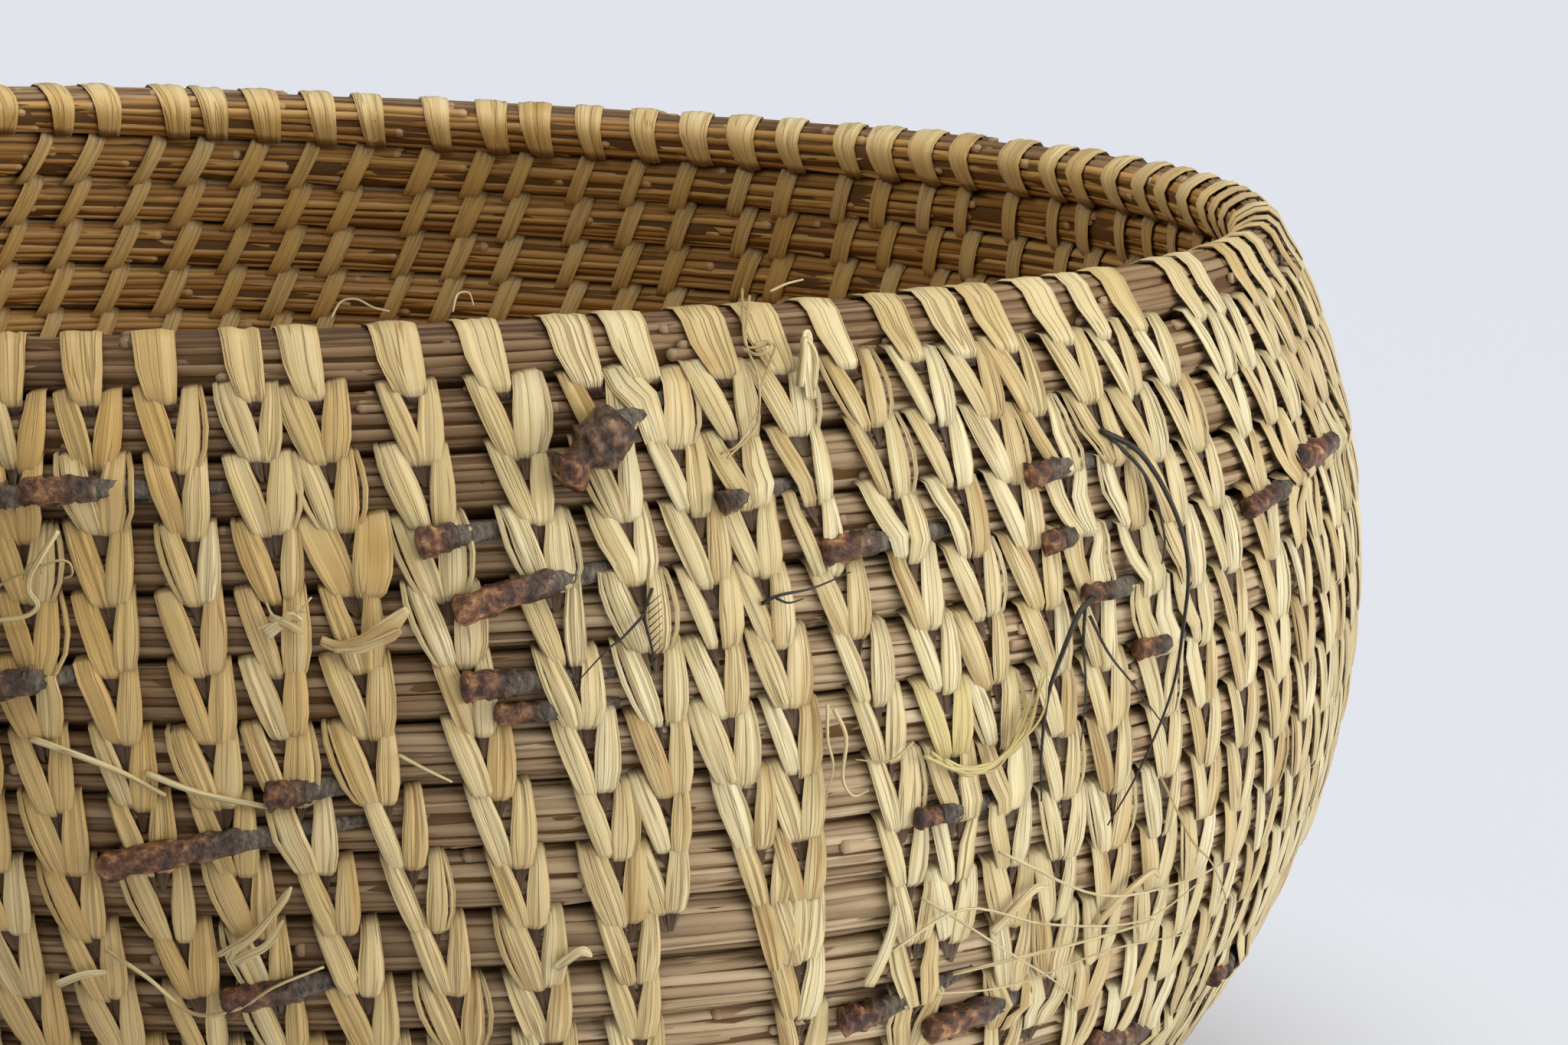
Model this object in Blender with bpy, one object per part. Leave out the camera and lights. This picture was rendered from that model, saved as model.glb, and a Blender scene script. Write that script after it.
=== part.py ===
"""Coiled pine needle basket: a bundle of needles wound in one rising spiral and sewn with chains of raffia stitches.

Metres, +Z up. The origin is the middle of the flat underside. The coil climbs counter-clockwise, seen from above.
"""

import math

import bmesh
import bpy
from mathutils import Vector
from mathutils.geometry import intersect_point_line

# Shape of the wall, measured on the middle line of the coil
BELLY_RADIUS = 0.1376
WALL_CURVE_RADIUS = 0.099
HEEL_CURVE_RADIUS = 0.045
RIM_LEAN_ANGLE = math.radians(29.5)
HEEL_SLOPE_ANGLE = math.radians(45)

# The needle bundle
COIL_PITCH = 0.0077
COIL_GAP = 0.0008
COIL_THICKNESS = 0.0070
FOOT_CUT_SHARE = 0.1
SPLICE_GAP = 0.0003

# Hand-made unevenness of the rim, which fades out towards the heel
RIM_WAVE_TWO = 0.0022
RIM_WAVE_THREE = 0.0009

# Centre start under the first turn
CENTRE_RADIUS = 0.0130
CENTRE_BEVEL = 0.0020
START_HALF_WIDTH = 0.0010

# Raffia chains
CHAIN_CLEARANCE = 0.0005
CHAIN_TOP_HALF_WIDTH = 0.0030
CHAIN_TIP_HALF_WIDTH = 0.0013
CHAIN_TOP_HEIGHT = 0.0011
CHAIN_TIP_HEIGHT = 0.0007
BAND_HALF_WIDTH = 0.0023

# Needle caps
CAP_CLEARANCE = 0.0004
CAP_RADIUS = 0.0018
KNOT_RADIUS = 0.0029

# Counts and angles
STEPS_PER_TURN = 24
COIL_SIDES = 6
CENTRE_SIDES = 24
CAP_SIDES = 6
SEAT_SAMPLES = 8
CHAIN_COUNT = 18
CHAIN_START_ANGLE = math.radians(-73)
CHAIN_LEAN_ANGLE = math.radians(0.6)
CHAIN_ROW_COUNT = 18
COIL_END_ANGLE = math.radians(180)
TAPER_STEPS = 5
TAPER_END_SHARE = 0.35
SHARP_ANGLE = math.radians(50)

# Turns of each length of coil, from the rim down; the base coil takes all that is left
COIL_TURN_COUNT = (
    ("rim_coil", 1),
    ("neck_coil", 2),
    ("shoulder_coil", 2),
    ("upper_belly_coil", 2),
    ("belly_coil", 3),
    ("lower_belly_coil", 3),
    ("lower_wall_coil", 2),
    ("heel_coil", 2),
    ("foot_coil", 3),
)

# Caps on the front, as degrees round the basket and rows below the rim, at their free end and at their root
FRONT_CAP_ANGLES_AND_ROWS = (
    (-108.6, 2.42, -106.3, 2.40),
    (-105.6, 2.34, -101.8, 2.30),
    (-86.5, 3.17, -84.6, 3.06),
    (-84.8, 4.15, -79.9, 3.75),
    (-66.1, 3.62, -63.1, 3.50),
    (-108.4, 5.30, -104.4, 5.02),
    (-84.5, 5.20, -81.9, 5.16),
    (-93.6, 6.73, -91.5, 6.63),
    (-101.6, 7.79, -94.6, 7.34),
    (-95.9, 9.96, -92.0, 9.69),
    (-63.5, 10.96, -61.1, 10.78),
    (-58.0, 11.27, -53.7, 11.08),
    (-42.8, 12.55, -36.2, 12.74),
    (-27.5, 3.39, -20.5, 3.39),
)

# Caps round the back, where the same kind of cap is spread at random
BACK_CAP_ANGLES_AND_ROWS = (
    (22.0, 4.40, 27.0, 4.20),
    (58.0, 7.60, 63.0, 7.35),
    (98.0, 3.50, 102.5, 3.30),
    (136.0, 9.20, 140.0, 9.00),
    (158.0, 5.60, 162.5, 5.35),
    (-143.0, 6.60, -138.0, 6.30),
)

# The big knobbly cap is steeper than the others
KNOT_CAP_ANGLES_AND_ROWS = (-79.6, 2.35, -76.4, 1.55)

# What follows from the sizes above
HALF_THICKNESS = COIL_THICKNESS / 2
HALF_WIDTH = (COIL_PITCH - COIL_GAP) / 2
FOOT_CUT = COIL_THICKNESS * FOOT_CUT_SHARE
BASE_HEIGHT = HALF_THICKNESS - FOOT_CUT
WALL_CENTRE_RADIUS = BELLY_RADIUS - WALL_CURVE_RADIUS
FLAT_RADIUS = WALL_CENTRE_RADIUS + (WALL_CURVE_RADIUS - HEEL_CURVE_RADIUS) * math.sin(HEEL_SLOPE_ANGLE)
HEEL_LENGTH = HEEL_CURVE_RADIUS * HEEL_SLOPE_ANGLE
WALL_TURN = math.pi / 2 - HEEL_SLOPE_ANGLE + RIM_LEAN_ANGLE
RIM_DISTANCE = FLAT_RADIUS + HEEL_LENGTH + WALL_CURVE_RADIUS * WALL_TURN
BELLY_HEIGHT = (
    BASE_HEIGHT
    + HEEL_CURVE_RADIUS * (1 - math.cos(HEEL_SLOPE_ANGLE))
    + WALL_CURVE_RADIUS * math.cos(HEEL_SLOPE_ANGLE)
)
START_EDGE = CENTRE_RADIUS + COIL_GAP
STEP_ANGLE = 2 * math.pi / STEPS_PER_TURN
CORNER_ANGLE = 2 * math.pi / COIL_SIDES


def clear_scene():
    """Removes what the file opened with."""
    for old in list(bpy.data.objects):
        bpy.data.objects.remove(old)


def make_material(name, colour, roughness):
    """A plain Principled material."""
    material = bpy.data.materials.new(name)
    material.use_nodes = True
    shader = material.node_tree.nodes["Principled BSDF"]
    shader.inputs["Base Color"].default_value = (*colour, 1)
    shader.inputs["Roughness"].default_value = roughness
    shader.inputs["Metallic"].default_value = 0
    material.diffuse_color = (*colour, 1)
    return material


def profile(distance):
    """Radius, height and slope of the coil's middle line at a distance from the centre, walked over the surface."""
    if distance <= FLAT_RADIUS:
        return distance, BASE_HEIGHT, 0
    if distance <= FLAT_RADIUS + HEEL_LENGTH:
        slope = (distance - FLAT_RADIUS) / HEEL_CURVE_RADIUS
        radius = FLAT_RADIUS + HEEL_CURVE_RADIUS * math.sin(slope)
        height = BASE_HEIGHT + HEEL_CURVE_RADIUS * (1 - math.cos(slope))
        return radius, height, slope
    slope = HEEL_SLOPE_ANGLE + (distance - FLAT_RADIUS - HEEL_LENGTH) / WALL_CURVE_RADIUS
    radius = WALL_CENTRE_RADIUS + WALL_CURVE_RADIUS * math.sin(slope)
    height = BELLY_HEIGHT - WALL_CURVE_RADIUS * math.cos(slope)
    return radius, height, slope


def rim_wave(distance, angle):
    """Height that the uneven rim adds, full at the rim and nothing on the heel and base."""
    heel_top = FLAT_RADIUS + HEEL_LENGTH
    share = (distance - heel_top) / (RIM_DISTANCE - heel_top)
    wave = RIM_WAVE_THREE * math.sin(3 * angle) - RIM_WAVE_TWO * math.sin(2 * angle)
    return wave * max(share, 0)


def facet_share(angle):
    """How far the coil's straight steps lie inside the full circle at this angle, as a share of the radius."""
    from_middle = (angle - COIL_END_ANGLE) % STEP_ANGLE - STEP_ANGLE / 2
    return math.cos(STEP_ANGLE / 2) / math.cos(from_middle)


def surface_point(distance, angle, across, along, on_facets):
    """A point off the middle line: across is outwards through the wall, along is up the wall."""
    radius, height, slope = profile(distance)
    radius += across * math.sin(slope) + along * math.cos(slope)
    height += along * math.sin(slope) - across * math.cos(slope)
    height += rim_wave(distance, angle)
    if on_facets:
        radius *= facet_share(angle)
    return Vector((radius * math.cos(angle), radius * math.sin(angle), height))


def bundle_section(half_width, half_thickness, foot_cut):
    """Outline of the bundle as (across, along) pairs: a hexagon whose flats face the turns above and below.

    With a foot cut, the ridge that faces out of the basket is sliced off flat.
    """
    corner_width = half_width / math.sin(CORNER_ANGLE)
    points = []
    for corner in range(COIL_SIDES):
        angle = CORNER_ANGLE * corner
        points.append((half_thickness * math.cos(angle), corner_width * math.sin(angle)))
    if foot_cut:
        flat = half_width * foot_cut / (half_thickness * math.cos(CORNER_ANGLE))
        points[:1] = [(half_thickness - foot_cut, -flat), (half_thickness - foot_cut, flat)]
    return points


def sweep(name, rings, material):
    """One closed solid through a row of rings, all with the same number of points."""
    shape = bmesh.new()
    rims = []
    for ring in rings:
        corners = [shape.verts.new(point) for point in ring]
        rims.append([shape.edges.new((a, b)) for a, b in zip(corners, corners[1:] + corners[:1])])
    for lower, upper in zip(rims, rims[1:]):
        bmesh.ops.bridge_loops(shape, edges=lower + upper)
    for rim in (rims[0], rims[-1]):
        bmesh.ops.contextual_create(shape, geom=rim)
    bmesh.ops.recalc_face_normals(shape, faces=shape.faces)
    return finish(name, shape, material)


def finish(name, shape, material):
    """Turns a bmesh into a named, smooth-shaded object of the basket."""
    mesh = bpy.data.meshes.new(name)
    shape.to_mesh(mesh)
    shape.free()
    mesh.materials.append(material)
    mesh.shade_smooth()
    mesh.set_sharp_from_angle(angle=SHARP_ANGLE)
    piece = bpy.data.objects.new(name, mesh)
    bpy.context.scene.collection.objects.link(piece)
    piece.parent = basket
    return piece


def bundle_at(step):
    """Distance, half width and half thickness of the bundle at a step back from its end, thinned at both ends."""
    distance = RIM_DISTANCE - COIL_PITCH * step / STEPS_PER_TURN
    half_width = HALF_WIDTH
    half_thickness = HALF_THICKNESS
    if step < TAPER_STEPS:
        share = TAPER_END_SHARE + (1 - TAPER_END_SHARE) * step / TAPER_STEPS
        half_width *= share
        half_thickness *= share
        distance -= HALF_WIDTH - half_width
    if distance - HALF_WIDTH < START_EDGE:
        half_width = (distance + HALF_WIDTH - START_EDGE) / 2
        distance = START_EDGE + half_width
    return distance, half_width, half_thickness


def coil_ring(step, foot_cut, end_shift):
    """The bundle's outline at a step back from the coil's end, pressed flat where it would pass below the table."""
    distance, half_width, half_thickness = bundle_at(step)
    angle = COIL_END_ANGLE - STEP_ANGLE * step + end_shift / distance
    outline = bundle_section(half_width, half_thickness, foot_cut)
    ring = [surface_point(distance, angle, across, along, False) for across, along in outline]
    for point in ring:
        point.z = max(point.z, 0)
    return ring


def least_gap(lower, upper):
    """Least distance from any corner of one outline to any side of the other."""
    least = math.inf
    for points, sides in ((lower, upper), (upper, lower)):
        for point in points:
            for start, end in zip(sides, sides[1:] + sides[:1]):
                nearest, share = intersect_point_line(point, start, end)
                nearest = start.lerp(end, min(max(share, 0), 1))
                least = min(least, (point - nearest).length)
    return least


def make_coil(name, first_step, last_step, foot_cut, material):
    """One unbroken length of the spiral. Its ends stand back from the neighbours' ends by half the splice gap."""
    rings = []
    for step in range(first_step, last_step + 1):
        end_shift = 0
        if step == first_step and step > 0:
            end_shift = -SPLICE_GAP / 2
        if step == last_step:
            end_shift = SPLICE_GAP / 2
        rings.append(coil_ring(step, foot_cut, end_shift))
    turns = list(zip(rings[STEPS_PER_TURN:], rings))
    gap = min((least_gap(lower, upper) for lower, upper in turns[1:-1]), default=None)
    if gap is not None:
        print(f"{name}: {len(turns) / STEPS_PER_TURN + 1:.1f} turns, least gap to itself {gap * 1000:.2f} mm")
    return sweep(name, rings, material)


def coil_steps():
    """Steps from the coil's end at the rim to its start, where the bundle is as thin as it gets."""
    start_distance = START_EDGE + 2 * START_HALF_WIDTH - HALF_WIDTH
    return int((RIM_DISTANCE - start_distance) / COIL_PITCH * STEPS_PER_TURN)


def make_coils(material):
    """The whole spiral, in the lengths that a maker splices together."""
    step = 0
    for name, turns in COIL_TURN_COUNT:
        make_coil(name, step, step + turns * STEPS_PER_TURN, 0, material)
        step += turns * STEPS_PER_TURN
    make_coil("base_coil", step, coil_steps(), FOOT_CUT, material)


def make_centre_start(material):
    """The wrapped knot in the middle of the base: a turned button with eased edges."""
    height = COIL_THICKNESS - FOOT_CUT
    shape = bmesh.new()
    bmesh.ops.create_cone(
        shape,
        cap_ends=True,
        segments=CENTRE_SIDES,
        radius1=CENTRE_RADIUS,
        radius2=CENTRE_RADIUS,
        depth=height,
    )
    bmesh.ops.translate(shape, verts=shape.verts, vec=(0, 0, height / 2))
    top_edges = [edge for edge in shape.edges if min(v.co.z for v in edge.verts) > height / 2]
    bmesh.ops.bevel(shape, geom=top_edges, offset=CENTRE_BEVEL, segments=1, affect="EDGES", profile=0.5)
    bmesh.ops.recalc_face_normals(shape, faces=shape.faces)
    return finish("centre_start", shape, material)


def steps_back(angle):
    """Steps from the coil's end, turning back, to this angle: less than one turn."""
    return (COIL_END_ANGLE - angle) % (2 * math.pi) / STEP_ANGLE


def crest_distance(row, angle):
    """Distance from the centre to the middle of the coil, a number of whole rows below the rim at this angle."""
    return RIM_DISTANCE - COIL_PITCH * (steps_back(angle) / STEPS_PER_TURN + row)


def coil_face(distance, angle):
    """How far out the coil's face lies here: most at the middle of a turn, least between two turns."""
    rows = (crest_distance(0, angle) - distance) / COIL_PITCH
    from_crest = abs(rows - round(rows)) * COIL_PITCH
    return HALF_THICKNESS * (1 - from_crest / (2 * HALF_WIDTH))


def chain_ring(distance, angle, across, along, half_width, height):
    """A chain's triangular outline: flat towards the coil, with a ridge outwards."""
    outer_share = 1 + height / math.hypot(across, along)
    middle = surface_point(distance, angle, across, along, True)
    ridge = surface_point(distance, angle, across * outer_share, along * outer_share, True)
    sideways = Vector((-math.sin(angle), math.cos(angle), 0)) * half_width
    return [middle - sideways, ridge, middle + sideways]


def make_chain(number, material):
    """One chain of stitches: a band over the rim, then a V on each row, wide above and narrow at its tip."""
    start_angle = CHAIN_START_ANGLE + 2 * math.pi * number / CHAIN_COUNT
    crest, half_width, half_thickness = bundle_at(steps_back(start_angle))
    grown = 1 + CHAIN_CLEARANCE / (HALF_THICKNESS * math.sin(CORNER_ANGLE))
    side = HALF_THICKNESS * grown
    rim_side = half_thickness + side - HALF_THICKNESS
    shoulder = rim_side * math.cos(CORNER_ANGLE)
    top = half_width + side - HALF_THICKNESS
    rings = [
        chain_ring(crest, start_angle, -rim_side, 0, CHAIN_TIP_HALF_WIDTH, CHAIN_TIP_HEIGHT),
        chain_ring(crest, start_angle, -shoulder, top, BAND_HALF_WIDTH, CHAIN_TIP_HEIGHT),
        chain_ring(crest, start_angle, shoulder, top, BAND_HALF_WIDTH, CHAIN_TIP_HEIGHT),
        chain_ring(crest, start_angle, rim_side, 0, CHAIN_TIP_HALF_WIDTH, CHAIN_TIP_HEIGHT),
    ]
    for row in range(1, CHAIN_ROW_COUNT):
        angle = start_angle + CHAIN_LEAN_ANGLE * row
        crest = crest_distance(row, angle)
        rise = HALF_WIDTH * math.sin(CORNER_ANGLE)
        rings.append(chain_ring(crest + rise, angle, side, 0, CHAIN_TOP_HALF_WIDTH, CHAIN_TOP_HEIGHT))
        rings.append(chain_ring(crest - rise, angle, side, 0, CHAIN_TIP_HALF_WIDTH, CHAIN_TIP_HEIGHT))
    return sweep(f"raffia_chain_{number + 1:02d}", rings, material)


def cap_angles(start, end):
    """The two end angles, with each step of the coil's facets that lies between them."""
    first = math.ceil((start - COIL_END_ANGLE) / STEP_ANGLE)
    last = math.floor((end - COIL_END_ANGLE) / STEP_ANGLE)
    between = [COIL_END_ANGLE + STEP_ANGLE * step for step in range(first, last + 1)]
    return [start, *(angle for angle in between if start < angle < end), end]


def cap_distance(place, share):
    """Distance from the centre to the cap's middle line, at a share of its length from the free end.

    The rows of a cap are counted from the rim's upper edge, half a row above the middle of the rim coil.
    """
    row = place[1] + (place[3] - place[1]) * share
    return RIM_DISTANCE - COIL_PITCH * (row + 1 / 2)


def cap_seat(place, radius):
    """How far out the cap's middle line lies, so that the cap just clears the highest part of the coil under it."""
    highest = 0
    for sample in range(SEAT_SAMPLES + 1):
        share = sample / SEAT_SAMPLES
        angle = math.radians(place[0] + (place[2] - place[0]) * share)
        for side in range(-SEAT_SAMPLES, SEAT_SAMPLES + 1):
            reach = radius * side / SEAT_SAMPLES
            face = coil_face(cap_distance(place, share) + reach, angle)
            highest = max(highest, face + math.sqrt(radius**2 - reach**2))
    return highest + CAP_CLEARANCE


def make_cap(name, place, radius, material):
    """A cap lying on the outside of the coil, from its free end to its root, a little thicker at the free end."""
    start_degrees, start_row, end_degrees, end_row = place
    start = math.radians(start_degrees)
    end = math.radians(end_degrees)
    across = cap_seat(place, radius)
    rings = []
    for angle in cap_angles(start, end):
        distance = cap_distance(place, (angle - start) / (end - start))
        middle = surface_point(distance, angle, across, 0, True)
        outwards = (surface_point(distance, angle, across + radius, 0, True) - middle).normalized()
        upwards = (surface_point(distance, angle, across, radius, True) - middle).normalized()
        ring = []
        for side in range(CAP_SIDES):
            turn = 2 * math.pi * side / CAP_SIDES
            ring.append(middle + radius * (math.cos(turn) * upwards + math.sin(turn) * outwards))
        rings.append(ring)
    return sweep(name, rings, material)


clear_scene()
basket = bpy.data.objects.new("basket", None)
bpy.context.scene.collection.objects.link(basket)

needles = make_material("pine_needle_bundle", (0.30, 0.21, 0.13), 0.62)
raffia = make_material("raffia", (0.70, 0.55, 0.31), 0.50)
bark = make_material("needle_cap_bark", (0.13, 0.055, 0.03), 0.70)

make_coils(needles)
make_centre_start(raffia)
for chain_number in range(CHAIN_COUNT):
    make_chain(chain_number, raffia)
for cap_number, cap_place in enumerate(FRONT_CAP_ANGLES_AND_ROWS + BACK_CAP_ANGLES_AND_ROWS):
    make_cap(f"needle_cap_{cap_number + 1:02d}", cap_place, CAP_RADIUS, bark)
make_cap("knot_cap", KNOT_CAP_ANGLES_AND_ROWS, KNOT_RADIUS, bark)
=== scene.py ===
# %% [markdown]
# # A coiled pine needle basket
# The real basket is one long bundle of dry pine needles, wound in a rising spiral and sewn with split
# raffia. Each stitch wraps the new coil and splits the stitch below it, so the stitches line up in chains
# of V shapes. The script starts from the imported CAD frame. It then dresses each length of coil with
# single needles, each chain with creased strips of raffia, and each needle cap with its own bark.

# %% Load the frame
import math

import bmesh
import bpy
import numpy as np
from mathutils import Matrix, Vector


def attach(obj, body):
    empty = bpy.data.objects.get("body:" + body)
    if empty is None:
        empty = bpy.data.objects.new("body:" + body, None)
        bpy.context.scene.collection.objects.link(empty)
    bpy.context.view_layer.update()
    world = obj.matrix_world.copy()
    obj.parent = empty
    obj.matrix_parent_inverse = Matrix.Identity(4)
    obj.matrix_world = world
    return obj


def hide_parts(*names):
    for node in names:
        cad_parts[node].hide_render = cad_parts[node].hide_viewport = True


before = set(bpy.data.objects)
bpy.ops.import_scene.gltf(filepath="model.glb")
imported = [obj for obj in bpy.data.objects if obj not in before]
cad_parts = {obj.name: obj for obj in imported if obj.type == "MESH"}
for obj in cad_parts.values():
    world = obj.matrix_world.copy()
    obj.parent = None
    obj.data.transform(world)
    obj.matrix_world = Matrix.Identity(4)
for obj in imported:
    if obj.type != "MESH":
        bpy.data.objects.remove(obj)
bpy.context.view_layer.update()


def add_object(name, data):
    """A new object that shows in the scene."""
    item = bpy.data.objects.new(name, data)
    bpy.context.scene.collection.objects.link(item)
    return item


def mesh_of(shape, name):
    """A mesh from a finished bmesh."""
    mesh = bpy.data.meshes.new(name)
    shape.to_mesh(mesh)
    shape.free()
    return mesh


# %% [markdown]
# ## The camera
# The photograph was taken from just above the rim, close to the basket, and it cuts off the left side and
# the base. A camera fitted to the rim lines, the right-hand outline and the stitch tips gives these
# numbers. Yaw, pitch and roll are written out as a rotation, because the camera tilts a little in all
# three ways.

# %% Camera
CAMERA_PLACE = Vector((0.0, -0.7966, 0.2286))
CAMERA_YAW = 0.07747
CAMERA_PITCH = 0.17308
CAMERA_ROLL = 0.01382
CAMERA_LENS = 132.5
SENSOR_WIDTH = 36.0
FAR_LIMIT = 60.0


def make_camera():
    """A camera at the photograph's place, looking the photograph's way."""
    forward = Vector((math.sin(CAMERA_YAW) * math.cos(CAMERA_PITCH),
                      math.cos(CAMERA_YAW) * math.cos(CAMERA_PITCH),
                      -math.sin(CAMERA_PITCH)))
    level_right = forward.cross(Vector((0, 0, 1))).normalized()
    level_up = level_right.cross(forward)
    right = level_right * math.cos(CAMERA_ROLL) + level_up * math.sin(CAMERA_ROLL)
    up = level_up * math.cos(CAMERA_ROLL) - level_right * math.sin(CAMERA_ROLL)
    turn = Matrix((right, up, -forward)).transposed().to_4x4()
    lens = bpy.data.cameras.new("photo_camera")
    lens.lens = CAMERA_LENS
    lens.sensor_width = SENSOR_WIDTH
    lens.clip_end = FAR_LIMIT
    camera = add_object("photo_camera", lens)
    camera.matrix_world = Matrix.Translation(CAMERA_PLACE) @ turn
    bpy.context.scene.camera = camera
    return camera


camera = make_camera()
print("camera at", tuple(round(v, 3) for v in camera.location))

# %% [markdown]
# ## The shape that everything follows
# All pieces lie on one surface: a flat base, a tight curve at the heel and a wider curve up the wall. A
# place on it is a distance walked from the centre and an angle round the basket. Two offsets leave the
# surface: across goes out through the wall, and along goes up the wall. The numbers are the ones in the
# CAD source. The functions take whole rows of numbers at once, because the basket has more than a hundred
# thousand points.

# %% Surface of the basket
MM = 0.001
BELLY_RADIUS = 137.6 * MM
WALL_CURVE_RADIUS = 99 * MM
HEEL_CURVE_RADIUS = 45 * MM
RIM_LEAN = math.radians(29.5)
HEEL_SLOPE = math.radians(45)
COIL_PITCH = 7.7 * MM
COIL_GAP = 0.8 * MM
COIL_THICKNESS = 7.0 * MM
FOOT_CUT_SHARE = 0.1
RIM_WAVE_TWO = 2.2 * MM
RIM_WAVE_THREE = 0.9 * MM
CENTRE_RADIUS = 13 * MM
COIL_END_ANGLE = math.pi
FULL_TURN = 2 * math.pi

HALF_THICKNESS = COIL_THICKNESS / 2
HALF_WIDTH = (COIL_PITCH - COIL_GAP) / 2
BASE_HEIGHT = HALF_THICKNESS - COIL_THICKNESS * FOOT_CUT_SHARE
WALL_CENTRE_RADIUS = BELLY_RADIUS - WALL_CURVE_RADIUS
FLAT_RADIUS = WALL_CENTRE_RADIUS + (WALL_CURVE_RADIUS - HEEL_CURVE_RADIUS) * math.sin(HEEL_SLOPE)
HEEL_TOP = FLAT_RADIUS + HEEL_CURVE_RADIUS * HEEL_SLOPE
RIM_DISTANCE = HEEL_TOP + WALL_CURVE_RADIUS * (math.pi / 2 - HEEL_SLOPE + RIM_LEAN)
START_EDGE = CENTRE_RADIUS + COIL_GAP
FOOT_LEAST = 0.03 * MM
FOOT_PRESS = 0.27
FOOT_PRESS_SLOPE = math.radians(25)


def profile(distance):
    """Radius, height and slope of the coil's middle line at distances from the centre."""
    distance = np.asarray(distance, float)
    heel = np.clip((distance - FLAT_RADIUS) / HEEL_CURVE_RADIUS, 0, HEEL_SLOPE)
    slope = heel + np.maximum(distance - HEEL_TOP, 0) / WALL_CURVE_RADIUS
    radius = np.minimum(distance, FLAT_RADIUS) + HEEL_CURVE_RADIUS * np.sin(heel)
    radius += WALL_CURVE_RADIUS * (np.sin(slope) - np.sin(heel))
    height = BASE_HEIGHT + HEEL_CURVE_RADIUS * (1 - np.cos(heel))
    height += WALL_CURVE_RADIUS * (np.cos(heel) - np.cos(slope))
    return radius, height, slope


def rim_wave(distance, angle):
    """Height that the uneven rim adds, full at the rim and nothing on the heel and base."""
    share = np.maximum((distance - HEEL_TOP) / (RIM_DISTANCE - HEEL_TOP), 0)
    return (RIM_WAVE_THREE * np.sin(3 * angle) - RIM_WAVE_TWO * np.sin(2 * angle)) * share


def round_axis(radius, angle, height):
    """Points at a radius, an angle and a height round the basket's axis."""
    return np.stack([radius * np.cos(angle), radius * np.sin(angle), height], axis=-1)


def place(distance, angle, across, along=0.0):
    """Points off the surface, with the underside pressed flat where the basket stands."""
    radius, height, slope = profile(distance)
    press = 1 - FOOT_PRESS * np.clip(1 - slope / FOOT_PRESS_SLOPE, 0, 1)
    across = np.where(np.asarray(across) > 0, across * press, across)
    radius = radius + across * np.sin(slope) + along * np.cos(slope)
    height = height + along * np.sin(slope) - across * np.cos(slope) + rim_wave(distance, angle)
    return round_axis(radius, angle, np.maximum(height, FOOT_LEAST))


print("rim", round(RIM_DISTANCE / MM, 1), "mm from the centre")
print("flat to", round(FLAT_RADIUS / MM, 1), "mm")

# %% [markdown]
# ## The spiral
# The coil is counted in turns back from its end at the rim, because every length of coil hangs from
# there. The bundle thins towards that end, so that the rim comes out level, and again where it leaves the
# centre.

# %% Spiral
TAPER_TURNS = 5 / 24
TAPER_END_SHARE = 0.35
LEAST_HALF_WIDTH = 1.0 * MM


def spiral(turns):
    """Distance, angle and thickness share of the bundle at a number of turns back from its end."""
    turns = np.asarray(turns, float)
    distance = RIM_DISTANCE - COIL_PITCH * turns
    share = np.clip(TAPER_END_SHARE + (1 - TAPER_END_SHARE) * turns / TAPER_TURNS, TAPER_END_SHARE, 1)
    distance = distance - HALF_WIDTH * (1 - share)
    starting = distance - HALF_WIDTH < START_EDGE
    thin = np.maximum((distance + HALF_WIDTH - START_EDGE) / 2, LEAST_HALF_WIDTH)
    share = np.where(starting, thin / HALF_WIDTH, share)
    distance = np.where(starting, START_EDGE + share * HALF_WIDTH, distance)
    return distance, COIL_END_ANGLE - FULL_TURN * turns, share


def turns_at(angle, rows):
    """Turns back from the coil's end at an angle, a number of rows below the rim coil."""
    return ((COIL_END_ANGLE - angle) % FULL_TURN) / FULL_TURN + rows


SPIRAL_TURNS = (RIM_DISTANCE - START_EDGE + HALF_WIDTH - 2 * LEAST_HALF_WIDTH) / COIL_PITCH
COIL_TURN_COUNT = (("rim_coil", 1), ("neck_coil", 2), ("shoulder_coil", 2), ("upper_belly_coil", 2),
                   ("belly_coil", 3), ("lower_belly_coil", 3), ("lower_wall_coil", 2), ("heel_coil", 2),
                   ("foot_coil", 3), ("base_coil", SPIRAL_TURNS - 20))
print("spiral of", round(SPIRAL_TURNS, 1), "turns")

# %% [markdown]
# ## One template for every strand
# A needle, a strip of raffia, a cap and a loose thread are all a closed ring of points carried along a
# line. The template is such a tube, extruded ring by ring and closed at both ends. Hundreds of copies are
# joined in one mesh, and only then are their points moved to their places, because that is many times
# faster than bending each one. A strip of raffia has nine sides, and the edges along it stay sharp,
# because it is pleated.

# %% Tube templates
PLEATED_SIDES = 9
templates = {}


def is_level(edge):
    """True for an edge that lies in a ring, and not along the tube."""
    return abs(edge.verts[0].co.z - edge.verts[1].co.z) < 0.5


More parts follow.
